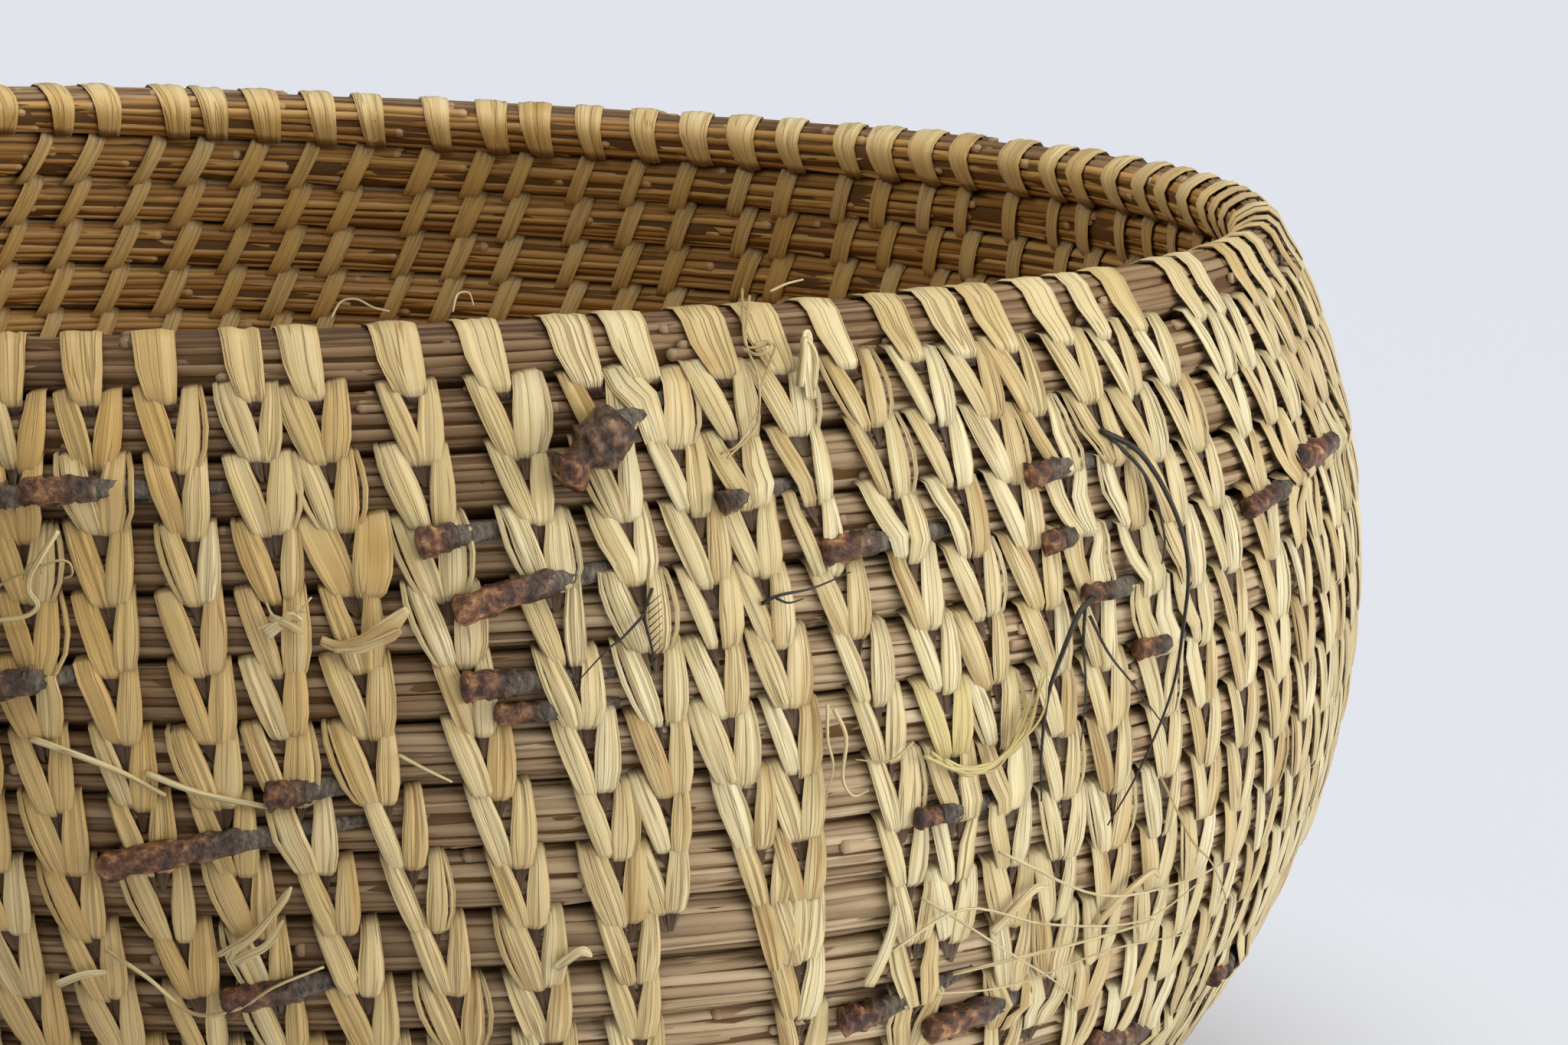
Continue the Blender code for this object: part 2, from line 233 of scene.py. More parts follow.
def tube_template(rings, sides):
    """A closed tube with its rings at whole heights, and the ring and side of each of its points."""
    if (rings, sides) in templates:
        return templates[rings, sides]
    shape = bmesh.new()
    bmesh.ops.create_circle(shape, segments=sides, radius=1)
    bottom = edges = list(shape.edges)
    for _ in range(rings - 1):
        grown = bmesh.ops.extrude_edge_only(shape, edges=edges)["geom"]
        points = [part for part in grown if isinstance(part, bmesh.types.BMVert)]
        bmesh.ops.translate(shape, verts=points, vec=(0, 0, 1))
        edges = [part for part in grown if isinstance(part, bmesh.types.BMEdge) and is_level(part)]
    bmesh.ops.contextual_create(shape, geom=bottom)
    bmesh.ops.contextual_create(shape, geom=edges)
    bmesh.ops.recalc_face_normals(shape, faces=shape.faces)
    shape.verts.index_update()
    for face in shape.faces:
        face.smooth = True
    for edge in shape.edges:
        edge.smooth = sides != PLEATED_SIDES or is_level(edge)
    spots = np.array([point.co for point in shape.verts])
    ring = np.rint(spots[:, 2]).astype(int)
    side = np.rint(np.arctan2(spots[:, 1], spots[:, 0]) / FULL_TURN * sides).astype(int) % sides
    templates[rings, sides] = mesh_of(shape, f"tube_{rings}_{sides}"), ring, side
    return templates[rings, sides]


# %% Join tubes into one piece
def add_attribute(mesh, name, kind, field, parts):
    """Stores one value, or one vector, for each point of a mesh."""
    values = np.concatenate(parts).astype(np.float32).ravel()
    mesh.attributes.new(name, kind, "POINT").data.foreach_set(field, values)


def fibre_values(shape, along, across, number=0.0):
    """How far along each point lies in mm, how far across or round, and the strand's own number."""
    fibre = np.zeros((*shape, 3))
    fibre[..., 0] = along
    fibre[..., 1] = across
    fibre[..., 2] = number
    return fibre


def join_tubes(name, tubes, finish):
    """One object from many tubes, each with its points by ring and side, fibre values, painted shade, and
    age that also carries painted shade.
    """
    shape = bmesh.new()
    parts = [[], [], [], []]
    for tube in tubes:
        size = tube[0].shape[:2]
        template, ring, side = tube_template(*size)
        shape.from_mesh(template)
        for part, values in zip(parts, tube):
            part.append(np.broadcast_to(values, size + np.shape(values)[2:])[ring, side])
    mesh = mesh_of(shape, name)
    mesh.vertices.foreach_set("co", np.concatenate(parts[0]).astype(np.float32).ravel())
    add_attribute(mesh, "fibre", "FLOAT_VECTOR", "vector", parts[1])
    add_attribute(mesh, "painted_shade", "FLOAT", "value", parts[2])
    add_attribute(mesh, "age_and_painted_shade", "FLOAT", "value", parts[3])
    shape = bmesh.new()
    shape.from_mesh(mesh)
    bmesh.ops.recalc_face_normals(shape, faces=shape.faces)
    shape.to_mesh(mesh)
    shape.free()
    mesh.materials.append(finish)
    triangles = sum(len(face.vertices) - 2 for face in mesh.polygons)
    print(f"{name}: {len(tubes)} strands, {triangles} triangles")
    return add_object(name, mesh)


def dress(piece, slot_name, *nodes):
    """Says what a finished piece rides on and stands for. The slot name is not used."""
    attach(piece, "root")
    if nodes:
        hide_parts(*nodes)


# %% [markdown]
# ## Finishes
# Every finish is made of nodes. Each point carries three fibre values: how far along its strand it lies
# in millimetres, how far round or across it, and a number of its own strand. Grain that reads them runs
# along every needle and strip, whichever way it bends. A painted shade value darkens a point deep between
# strands, in the core and where a strip dives under a coil. The age value is high on the rim, where the
# basket has gone brown, and it also carries painted shade: darker, warmer tones on the shaded left side
# and all over the inside.

# %% Node helpers
def set_numbers(node, numbers):
    """Sets some of a node's own numbers by their names."""
    for name, value in numbers.items():
        node.inputs[name].default_value = value


def new_material(name, roughness, gloss, **numbers):
    """A material with its node tree and its main shader."""
    material = bpy.data.materials.new(name)
    material.use_nodes = True
    tree = material.node_tree
    shader = tree.nodes["Principled BSDF"]
    set_numbers(shader, {"Roughness": roughness, "Specular IOR Level": gloss, **numbers})
    return material, tree, shader


def feed(tree, socket, value):
    """Gives a socket a number, a colour of three numbers, or a link."""
    if isinstance(value, (int, float)):
        socket.default_value = value
    elif isinstance(value, tuple):
        socket.default_value = (*value, 1)
    else:
        tree.links.new(value, socket)


def strand_values(tree):
    """Sockets for how far along, how far across, and the strand's own number."""
    fibre = tree.nodes.new("ShaderNodeAttribute")
    fibre.attribute_name = "fibre"
    split = tree.nodes.new("ShaderNodeSeparateXYZ")
    tree.links.new(fibre.outputs["Vector"], split.inputs[0])
    return split.outputs["X"], split.outputs["Y"], split.outputs["Z"]


def point_value(tree, name):
    """The socket of a single stored value."""
    node = tree.nodes.new("ShaderNodeAttribute")
    node.attribute_name = name
    return node.outputs["Fac"]


# %% Maths, noise and colour nodes
def math_node(tree, operation, first, second=0.0, third=0.0):
    """A maths node fed by sockets or numbers."""
    node = tree.nodes.new("ShaderNodeMath")
    node.operation = operation
    for socket, value in zip(node.inputs, (first, second, third)):
        feed(tree, socket, value)
    return node.outputs[0]


def texture(tree, kind, spot, **numbers):
    """The outputs of a texture node that reads a spot socket."""
    node = tree.nodes.new(f"ShaderNodeTex{kind}")
    set_numbers(node, numbers)
    tree.links.new(spot, node.inputs["Vector"])
    return node.outputs


def stretched_noise(tree, values, stretch, detail, roughness=0.5):
    """Noise drawn out along the strand: the first stretch is small and the second large."""
    spot = tree.nodes.new("ShaderNodeCombineXYZ")
    for socket, value, scale in zip(spot.inputs, values, stretch):
        tree.links.new(math_node(tree, "MULTIPLY", value, scale), socket)
    return texture(tree, "Noise", spot.outputs[0], Scale=1, Detail=detail, Roughness=roughness)["Fac"]


def ramp(tree, factor, stops):
    """A colour ramp through (position, colour) stops."""
    node = tree.nodes.new("ShaderNodeValToRGB")
    while len(node.color_ramp.elements) < len(stops):
        node.color_ramp.elements.new(1)
    for element, (position, colour) in zip(node.color_ramp.elements, stops):
        element.position = position
        element.color = (*colour, 1)
    tree.links.new(factor, node.inputs["Fac"])
    return node.outputs["Color"]


def mix_colours(tree, factor, first, second, blend="MIX"):
    """Mixes two colours, each a socket or three numbers."""
    node = tree.nodes.new("ShaderNodeMix")
    node.data_type = "RGBA"
    node.blend_type = blend
    for number, value in ((0, factor), (6, first), (7, second)):
        feed(tree, node.inputs[number], value)
    return node.outputs[2]


def lay_over(tree, colour, over, factor, share, blend="MIX"):
    """Lays a colour over another, at a share of a factor."""
    return mix_colours(tree, math_node(tree, "MULTIPLY", factor, share), colour, over, blend)


def fine_lines(tree, noise, width):
    """Thin lines where a stretched noise passes its middle: one on the line, nothing a little way off."""
    off_line = math_node(tree, "ABSOLUTE", math_node(tree, "SUBTRACT", noise, 0.5))
    line = math_node(tree, "SUBTRACT", 1.0, math_node(tree, "DIVIDE", off_line, width))
    return math_node(tree, "MAXIMUM", line, 0.0)


def finish_surface(tree, shader, colour, height, strength, distance):
    """Gives the shader its colour, and a fine relief from a height socket."""
    tree.links.new(colour, shader.inputs["Base Color"])
    bump = tree.nodes.new("ShaderNodeBump")
    set_numbers(bump, {"Strength": strength, "Distance": distance})
    tree.links.new(height, bump.inputs["Height"])
    tree.links.new(bump.outputs["Normal"], shader.inputs["Normal"])


# %% [markdown]
# Dry pine needles go from green to grey-tan and brown, each in its own tone, with fine grooves along them
# and a pale cut end. Needles on the rim are browner with age. Needles on the shaded left side are darker
# and browner, and needles inside warm brown, as painted shade and warm bounced light. Three ramps, for
# needles outside, on the rim and shaded side, and inside, pick the tone from the needle's own number. Two
# noises lay blotches and streaks over it, and painted shade darkens it deep in the gaps.

# %% Needle finish
NEEDLE_TONES = ((0.0, (0.320, 0.215, 0.110)), (0.3, (0.470, 0.345, 0.200)),
                (0.62, (0.590, 0.455, 0.275)), (1.0, (0.700, 0.570, 0.370)))
# Browner tones of the older needles near the rim, also used as painted shade on the shaded left side.
OLD_AND_SHADED_NEEDLE_TONES = ((0.0, (0.120, 0.060, 0.022)), (0.35, (0.190, 0.108, 0.045)),
                    (0.7, (0.270, 0.165, 0.075)), (1.0, (0.360, 0.240, 0.125)))
# Warm brown tones painted as the shade and bounced light of needles inside the basket.
SHADED_INSIDE_NEEDLE_TONES = ((0.0, (0.310, 0.155, 0.038)), (0.35, (0.415, 0.222, 0.060)),
                       (0.7, (0.505, 0.295, 0.088)), (1.0, (0.590, 0.375, 0.130)))
NEEDLE_STREAK = (0.55, 0.43, 0.30)
NEEDLE_SHADE = (0.022, 0.010, 0.003)
NEEDLE_CUT_END = (0.420, 0.290, 0.160)
CUT_END_LENGTH = 1.1
FIBRE_RELIEF = 0.0004


def make_needle_finish():
    """Grey-tan needles outside, dark brown ones near the rim, and painted shade: darker on the shaded side
    and warm brown inside.
    """
    material, tree, shader = new_material("dry_pine_needles", 0.5, 0.35)
    values = strand_values(tree)
    blotch = stretched_noise(tree, values, (0.045, 0.6, 31.0), 3.0)
    tone = math_node(tree, "MULTIPLY_ADD", blotch, 0.9, math_node(tree, "SUBTRACT", values[2], 0.45))
    fresh = ramp(tree, tone, NEEDLE_TONES)
    old_and_shaded = ramp(tree, tone, OLD_AND_SHADED_NEEDLE_TONES)
    inner = ramp(tree, tone, SHADED_INSIDE_NEEDLE_TONES)
    # The age value browns the needles near the rim, and on the shaded side and inside it carries painted
    # shade.
    age_and_painted_shade = point_value(tree, "age_and_painted_shade")
    browned_and_shaded = math_node(tree, "MINIMUM", math_node(tree, "MULTIPLY", age_and_painted_shade, 2.0), 1.0)
    colour = mix_colours(tree, browned_and_shaded, fresh, old_and_shaded)
    inside_shade = math_node(tree, "MAXIMUM", math_node(tree, "MULTIPLY_ADD", age_and_painted_shade, 2.0, -1.0), 0.0)
    colour = mix_colours(tree, inside_shade, colour, inner)
    streak = stretched_noise(tree, values, (0.05, 16.0, 17.0), 2.0)
    colour = lay_over(tree, colour, NEEDLE_STREAK, streak, 0.7, "MULTIPLY")
    end = math_node(tree, "LESS_THAN", values[0], CUT_END_LENGTH)
    colour = lay_over(tree, colour, NEEDLE_CUT_END, end, 0.6)
    # Painted shade, darker deep between needles and in the core.
    colour = mix_colours(tree, point_value(tree, "painted_shade"), colour, NEEDLE_SHADE)
    groove = stretched_noise(tree, values, (0.02, 22.0, 13.0), 1.0)
    finish_surface(tree, shader, colour, groove, 0.5, FIBRE_RELIEF)
    return material


needle_finish = make_needle_finish()
print("needle finish:", needle_finish.name)

# %% [markdown]
# Raffia is a split palm leaf: pale straw, satin, pleated lengthwise, with brown lines in the pleats and
# browned edges. Single strips are ochre all over, and one stitch and its frayed fibres have a green
# tinge. The pleats are thin lines where a stretched noise passes its middle, drawn in both the colour and
# the relief. Strips inside and on the shaded left side are mixed towards a darker, warmer raffia as
# painted shade, and the ends that dive under a coil are darkened as painted shade.

# %% Raffia finish
RAFFIA_TONES = ((0.0, (0.440, 0.285, 0.098)), (0.14, (0.565, 0.420, 0.176)),
                (0.42, (0.650, 0.528, 0.262)), (0.70, (0.730, 0.630, 0.350)),
                (1.0, (0.795, 0.712, 0.452)))
RAFFIA_PLEAT = (0.300, 0.165, 0.055)
RAFFIA_EDGE = (0.420, 0.270, 0.110)
RAFFIA_OCHRE = (0.450, 0.230, 0.050)
RAFFIA_SHADE = (0.070, 0.028, 0.008)
# Darker, warmer raffia painted as shade, for strips inside and on the shaded left side.
SHADED_RAFFIA = (0.540, 0.335, 0.098)
RAFFIA_GREEN = (0.620, 0.530, 0.180)
OCHRE_FROM = 0.97
GREEN_FROM = 1.5


def make_raffia_finish():
    """Pale satin strips with brown pleats and edges, and painted shade inside, on the shaded side and
    under coils.
    """
    sheen = {"Sheen Weight": 0.1, "Sheen Roughness": 0.4}
    material, tree, shader = new_material("split_raffia", 0.40, 0.45, **sheen)
    values = strand_values(tree)
    patch = stretched_noise(tree, values, (0.12, 0.9, 41.0), 2.0)
    own_tone = math_node(tree, "MULTIPLY_ADD", values[2], 0.7, -0.52)
    colour = ramp(tree, math_node(tree, "MULTIPLY_ADD", patch, 1.3, own_tone), RAFFIA_TONES)
    fibre = stretched_noise(tree, values, (0.07, 8.0, 23.0), 3.0, 0.6)
    fine = ramp(tree, fibre, ((0.42, (0, 0, 0)), (0.70, (1, 1, 1))))
    colour = lay_over(tree, colour, RAFFIA_EDGE, fine, 0.35)
    pleats = fine_lines(tree, stretched_noise(tree, values, (0.05, 2.1, 29.0), 1.0), 0.035)
    colour = lay_over(tree, colour, RAFFIA_PLEAT, pleats, 0.75)
    edge = math_node(tree, "POWER", math_node(tree, "ABSOLUTE", values[1]), 6.0)
    colour = lay_over(tree, colour, RAFFIA_EDGE, edge, 0.6)
    ochre = math_node(tree, "GREATER_THAN", values[2], OCHRE_FROM)
    colour = lay_over(tree, colour, RAFFIA_OCHRE, ochre, patch)
    green = math_node(tree, "GREATER_THAN", values[2], GREEN_FROM)
    colour = lay_over(tree, colour, RAFFIA_GREEN, green, 0.6)
    # Painted shade: darker, warmer raffia inside and on the shaded side, and dark ends where a strip dives
    # under a coil.
    colour = mix_colours(tree, point_value(tree, "age_and_painted_shade"), colour, SHADED_RAFFIA)
    colour = mix_colours(tree, point_value(tree, "painted_shade"), colour, RAFFIA_SHADE)
    relief = math_node(tree, "SUBTRACT", math_node(tree, "MULTIPLY", fibre, 0.6), pleats)
    finish_surface(tree, shader, colour, relief, 0.6, FIBRE_RELIEF)
    return material


raffia_finish = make_raffia_finish()
print("raffia finish:", raffia_finish.name)

# %% [markdown]
# The caps keep the bark-like scales that held the needles on the twig: reddish brown, flaking to pale
# wood and nearly black in the cracks, and greyer towards the root. The sheath behind a cap is dark grey
# with fine rings. The scales read object coordinates, since they don't follow a grain. The rings read how
# far along the sheath a point lies.

# %% Cap, sheath and thread finishes
BARK_TONES = ((0.34, (0.010, 0.005, 0.003)), (0.47, (0.050, 0.018, 0.008)),
              (0.57, (0.145, 0.054, 0.020)), (0.67, (0.330, 0.155, 0.060)),
              (0.80, (0.600, 0.390, 0.210)))
ROOT_TONES = ((0.34, (0.010, 0.006, 0.004)), (0.50, (0.045, 0.027, 0.018)),
              (0.64, (0.112, 0.074, 0.048)), (0.80, (0.260, 0.190, 0.125)))
SHEATH_TONES = ((0.34, (0.035, 0.026, 0.018)), (0.52, (0.120, 0.095, 0.068)),
                (0.72, (0.260, 0.215, 0.160)))
THREAD_TONES = ((0.3, (0.010, 0.008, 0.006)), (0.7, (0.050, 0.040, 0.026)))
BARK_GRAIN = 520.0
BARK_CELLS = 800.0
BARK_RELIEF = 0.0012
SHEATH_RELIEF = 0.0006


def make_bark_finish():
    """Bark scales, redder at the free end of a cap and greyer at its root."""
    material, tree, shader = new_material("cap_bark_scales", 0.36, 0.45)
    spot = tree.nodes.new("ShaderNodeTexCoord").outputs["Object"]
    noise = texture(tree, "Noise", spot, Scale=BARK_GRAIN, Detail=6, Roughness=0.62)
    cells = texture(tree, "Voronoi", spot, Scale=BARK_CELLS)
    broad = math_node(tree, "MULTIPLY", noise["Fac"], 0.95)
    scales = math_node(tree, "MULTIPLY_ADD", cells["Distance"], 0.15, broad)
    fresh, worn = ramp(tree, scales, BARK_TONES), ramp(tree, scales, ROOT_TONES)
    colour = mix_colours(tree, point_value(tree, "age_and_painted_shade"), fresh, worn)
    finish_surface(tree, shader, colour, scales, 1.0, BARK_RELIEF)
    return material


def make_sheath_finish():
    """Dark grey with fine rings."""
    material, tree, shader = new_material("dark_needle_sheath", 0.6, 0.3)
    values = strand_values(tree)
    rings = stretched_noise(tree, values, (1.5, 2.5, 19.0), 5.0, 0.7)
    finish_surface(tree, shader, ramp(tree, rings, SHEATH_TONES), rings, 0.9, SHEATH_RELIEF)
    return material


def make_thread_finish():
    """Nearly black, with faint streaks."""
    material, tree, shader = new_material("black_thread", 0.5, 0.3)
    streak = stretched_noise(tree, strand_values(tree), (0.3, 3.0, 7.0), 2.0)
    tree.links.new(ramp(tree, streak, THREAD_TONES), shader.inputs["Base Color"])
    return material


bark_finish = make_bark_finish()
sheath_finish = make_sheath_finish()
thread_finish = make_thread_finish()
print("cap finishes:", bark_finish.name, sheath_finish.name, thread_finish.name)

# %% [markdown]
# ## Needles
# Two dozen needles lie side by side round the bundle. Each starts with its cut butt end, runs with the
# coil for a hand's width or more, wanders a little, and ends in a thin tip tucked under its neighbours,
# where the next one starts. All needles of the spiral are laid in one go, slot by slot, then shared out
# to the length of coil that they lie in. Under them goes a core painted dark as shade, so that no light
# shines through between them and the gaps show painted shade.

# %% Outline of the bundle
OUTLINE_POWER = 0.66
OUTLINE_SAMPLES = 721


def outline_table():
    """A rounded square with its points by the share of the way round, evenly by length."""
    turn = np.linspace(0, FULL_TURN, OUTLINE_SAMPLES)
    across = np.sign(np.cos(turn)) * np.abs(np.cos(turn)) ** OUTLINE_POWER
    along = np.sign(np.sin(turn)) * np.abs(np.sin(turn)) ** OUTLINE_POWER
    walked = np.concatenate([[0], np.cumsum(np.hypot(np.diff(across), np.diff(along)))])
    return walked / walked[-1], across, along


OUTLINE_SHARES, OUTLINE_ACROSS, OUTLINE_ALONG = outline_table()


def bundle_outline(share):
    """Across and along, from -1 to 1, at a share of the way round. Share 0 faces out of the basket."""
    share = np.asarray(share) % 1
    across = np.interp(share, OUTLINE_SHARES, OUTLINE_ACROSS)
    return across, np.interp(share, OUTLINE_SHARES, OUTLINE_ALONG)


# %% Needle sizes
NEEDLE_SLOTS = 24
LEAST_NEEDLE_RINGS = 3
NEEDLE_RADIUS = 0.60 * MM
NEEDLE_SIDES = 6
NEEDLE_LENGTH = (90 * MM, 180 * MM)
RIM_NEEDLE_LENGTH = (26 * MM, 70 * MM)
NEEDLE_SAG = 0.12 * MM
NEEDLE_THICKNESS = (0.84, 1.22)
THICKER_TURNS = (3, 9)
BOTTOM_THICKNESS = 1.12
PACKING = 0.8
WANDER_SHARE = 0.02
WANDER_LENGTH = (16 * MM, 36 * MM)
SWAY = 0.14 * MM
SWAY_LENGTH = (11 * MM, 26 * MM)
SETTLE = 0.08 * MM
BUTT_RISE = 0.20 * MM
BUTT_STEPS = np.array([0, 0.5, 1.5, 4.0]) * MM
BUTT_WIDTHS = (0.62, 1.14, 1.08, 1.0)
TIP_LENGTH = 14.0 * MM
TIP_TUCK = 0.5 * MM
TIP_TUCK_POWER = 1.5
SPLICE_OVERLAP = 3 * MM
LONGEST_SHARE = 0.8
START_SCATTER = 0.1
SLOT_SCATTER = 0.3
RIM_TURNS = 2
SPIRAL_TIP = 0.02
NEEDLE_SEED = 7

needle_random = np.random.default_rng(NEEDLE_SEED)

# %% Age and painted shade of the needles
# Painted shade on the sides of each needle that face into the bundle, where the needles shade each other.
NEEDLE_PAINTED_SHADE = 0.22
NEEDLE_PAINTED_SHADE_SWING = 0.6
INNER_FACE = -0.35
AGE_TURNS = (0, 1.0, 1.6, 3.0, 6.0)
AGE_OUTSIDE = (0.48, 0.43, 0.30, 0.20, 0.03)
AGE_AND_SHADE_OUTSIDE_MOST = 0.5
# Needles inside the basket take the warm tones of painted shade and bounced light in full.
INSIDE_NEEDLE_SHADE_MIX = 1.0
# Painted shade on the basket's shaded left side.
SHADED_SIDE = math.radians(-132)
SHADED_SIDE_STRENGTH = 1.5
SHADED_SIDE_POWER = 9
SHADED_SIDE_MOST = 0.7


def painted_side_shade(angle):
    """Painted shade on the basket's shaded left side, darker and browner: most at its middle, and nothing
    opposite.
    """
    nearness = (1 + np.cos(angle - SHADED_SIDE)) / 2
    return np.minimum(SHADED_SIDE_STRENGTH * nearness ** SHADED_SIDE_POWER, SHADED_SIDE_MOST)


# %% One needle
def between(limits, share):
    """A value between two limits, at a share of the way from the first to the second."""
    return limits[0] + (limits[1] - limits[0]) * share


def spiral_radius(turns):
    """Radius of the basket where the spiral is, a number of turns back from its end."""
    return float(profile(spiral(turns)[0])[0])


def wave(travelled, lengths, length_draw, start_draw):
    """A slow wave along a strand, of a random length and start."""
    return np.sin(travelled / between(lengths, length_draw) + FULL_TURN * start_draw)


def needle_tube(start_turns, length, slot_share):
    """One needle: its points, fibre values, painted shade on its inner sides, and age with painted shade.
    """
    draw = needle_random.random(8)
    start_radius = spiral_radius(start_turns)
    spacing = math.sqrt(8 * start_radius * NEEDLE_SAG)
    rings = max(LEAST_NEEDLE_RINGS, math.ceil(length / spacing))
    travelled = np.concatenate([BUTT_STEPS, np.linspace(BUTT_STEPS[-1], length, rings + 1)[1:]])
    turns = np.maximum(start_turns - travelled / (FULL_TURN * start_radius), 0)
    distance, angle, share = spiral(turns)
    wander = WANDER_SHARE * wave(travelled, WANDER_LENGTH, draw[1], draw[2])
    depth = SWAY * wave(travelled, SWAY_LENGTH, draw[3], draw[4]) - SETTLE
    depth = depth + BUTT_RISE * np.clip(1 - travelled / BUTT_STEPS[-1], 0, 1)
    tip = np.clip((travelled - (length - TIP_LENGTH)) / TIP_LENGTH, 0, 1)
    depth = depth - TIP_TUCK * tip ** TIP_TUCK_POWER
    side_across, side_along = bundle_outline(slot_share + wander)
    middle_across = side_across * (HALF_THICKNESS - NEEDLE_RADIUS + depth)
    middle_along = side_along * (COIL_PITCH / 2 - NEEDLE_RADIUS * PACKING + depth)
    thickness = NEEDLE_RADIUS * between(NEEDLE_THICKNESS, draw[0]) * (1 - tip / 2)
    thickness = thickness * np.interp(travelled, BUTT_STEPS, BUTT_WIDTHS)
    thickness = thickness * np.interp(turns, THICKER_TURNS, (1, BOTTOM_THICKNESS))
    out_turn = math.atan2(*reversed(bundle_outline(slot_share)))
    round_turn = FULL_TURN * np.arange(NEEDLE_SIDES) / NEEDLE_SIDES + out_turn
    across = (middle_across[:, None] + thickness[:, None] * np.cos(round_turn)) * share[:, None]
    along = (middle_along[:, None] + thickness[:, None] * np.sin(round_turn)) * share[:, None]
    points = place(distance[:, None], angle[:, None], across, along)
    side = np.abs(np.arange(NEEDLE_SIDES) / NEEDLE_SIDES - 0.5)
    fibre = fibre_values(points.shape[:2], travelled[:, None] / MM, side, draw[5])
    # Painted shade on the sides that face into the bundle; the age also takes painted shade on the shaded
    # side and inside.
    painted_shade = np.clip(NEEDLE_PAINTED_SHADE - NEEDLE_PAINTED_SHADE_SWING * np.cos(round_turn - out_turn), 0, 1)
    outside = np.interp(turns, AGE_TURNS, AGE_OUTSIDE) + painted_side_shade(angle)
    age_and_painted_shade = np.where(side_across < INNER_FACE, INSIDE_NEEDLE_SHADE_MIX, np.minimum(outside, AGE_AND_SHADE_OUTSIDE_MOST))
    return points, fibre, painted_shade[None, :], age_and_painted_shade[:, None]


# %% Lay all the needles
def lay_needles():
    """Needles for the whole spiral, slot by slot, each with the turns at its middle."""
    needles = []
    for slot_number in range(NEEDLE_SLOTS):
        turns = SPIRAL_TURNS - START_SCATTER * needle_random.random()
        while turns > SPIRAL_TIP:
            round_length = FULL_TURN * spiral_radius(turns)
            limits = RIM_NEEDLE_LENGTH if turns < RIM_TURNS else NEEDLE_LENGTH
            length = min(between(limits, needle_random.random()), round_length * LONGEST_SHARE)
            aside = 0.5 + SLOT_SCATTER * (needle_random.random() - 0.5)
            middle = max(turns - length / (2 * round_length), 0)
            needle = needle_tube(turns, length, (slot_number + aside) / NEEDLE_SLOTS)
            needles.append((middle, needle))
            turns -= (length - SPLICE_OVERLAP) / round_length
    return needles


needles = lay_needles()
print(len(needles), "needles laid")

# %% [markdown]
# The core is a plain tube through the middle of the bundle, painted dark as shade. It is only seen as the
# shadow between two needles, and its grain runs along it as the needles do. Its lower edge reaches down
# into the next turn, so that the wall is tight, and one more ring, painted the same, fills the start of
# the coil.

# %% Core and coils
CORE_SHARE = 0.88
CORE_REACH_SHARE = 1.13
CORE_LOWER_EDGE = -0.9
CORE_GRAIN = 3.0
FILLING_RADIUS = 14.6 * MM
FILLING_HALF_WIDTH = 2.6 * MM
FILLING_SHARE = 0.7
FILLING_TURNS = np.linspace(0, 1.02, 50)
FILLING_LENGTH = 60
CORE_SIDES = 8
LEAST_CORE_RINGS = 8
CORE_STEP = 1 / 60
# Painted shade of the core, seen only between the needles.
CORE_PAINTED_SHADE = 0.55
CORE_START = 10
CORE_ACROSS, CORE_ALONG = bundle_outline(np.arange(CORE_SIDES) / CORE_SIDES)
CORE_FIBRES = CORE_GRAIN * np.arange(CORE_SIDES)


def core_tube(first_turns, last_turns):
    """The filling of one length of coil, painted dark as the shade between needles."""
    rings = max(LEAST_CORE_RINGS, round((last_turns - first_turns) / CORE_STEP))
    distance, angle, share = spiral(np.linspace(first_turns, last_turns, rings))
    across = CORE_ACROSS * HALF_THICKNESS * CORE_SHARE * share[:, None]
    reach = np.where(CORE_ALONG < CORE_LOWER_EDGE, CORE_REACH_SHARE, CORE_SHARE)
    along = CORE_ALONG * COIL_PITCH / 2 * reach * share[:, None]
    points = place(distance[:, None], angle[:, None], across, along)
    walked = CORE_START + np.arange(rings)[:, None]
    return points, fibre_values(across.shape, walked, CORE_FIBRES), CORE_PAINTED_SHADE, INSIDE_NEEDLE_SHADE_MIX


def filling_ring():
    """A ring of needles between the centre start and the thin start of the coil, painted dark as the core.
    """
    radius = FILLING_RADIUS + CORE_ALONG * FILLING_HALF_WIDTH
    height = BASE_HEIGHT + CORE_ACROSS * HALF_THICKNESS * FILLING_SHARE
    angle = FULL_TURN * FILLING_TURNS[:, None]
    points = round_axis(radius, angle, height + 0 * angle)
    walked = CORE_START + FILLING_LENGTH * FILLING_TURNS[:, None]
    return points, fibre_values(points.shape[:2], walked, CORE_FIBRES), CORE_PAINTED_SHADE, INSIDE_NEEDLE_SHADE_MIX


def dress_coils():
    """One object for each length of coil, with its needles and its core."""
    first = 0
    for name, count in COIL_TURN_COUNT:
        last = first + count
        tubes = [tube for middle, tube in needles if first <= middle < last]
        tubes.append(core_tube(first, min(last, SPIRAL_TURNS)))
        if name == "base_coil":
            tubes.append(filling_ring())
        dress(join_tubes(f"{name}_needles", tubes, needle_finish), "pine_needles", name)
        first = last


dress_coils()

# %% [markdown]
# ## Raffia stitches
# A stitch on the outside is a V. Its two arms come out between two coils, lie over the coil, and draw
# together to a tip that lies in the fork of the next V. The last bit of each arm goes on under that fork
# and is painted dark as shade, so it shows as the small shadowed hole there; its top, under the coil
# above, is painted with shade too. Every arm is a pleated strip with seven points over its face and two
# behind it. Its width, pleats and place differ a little from the last, because it was sewn by hand. The
# tables give the arm's outer and inner edge, its lift off the coil and its painted shade, from top to tip.

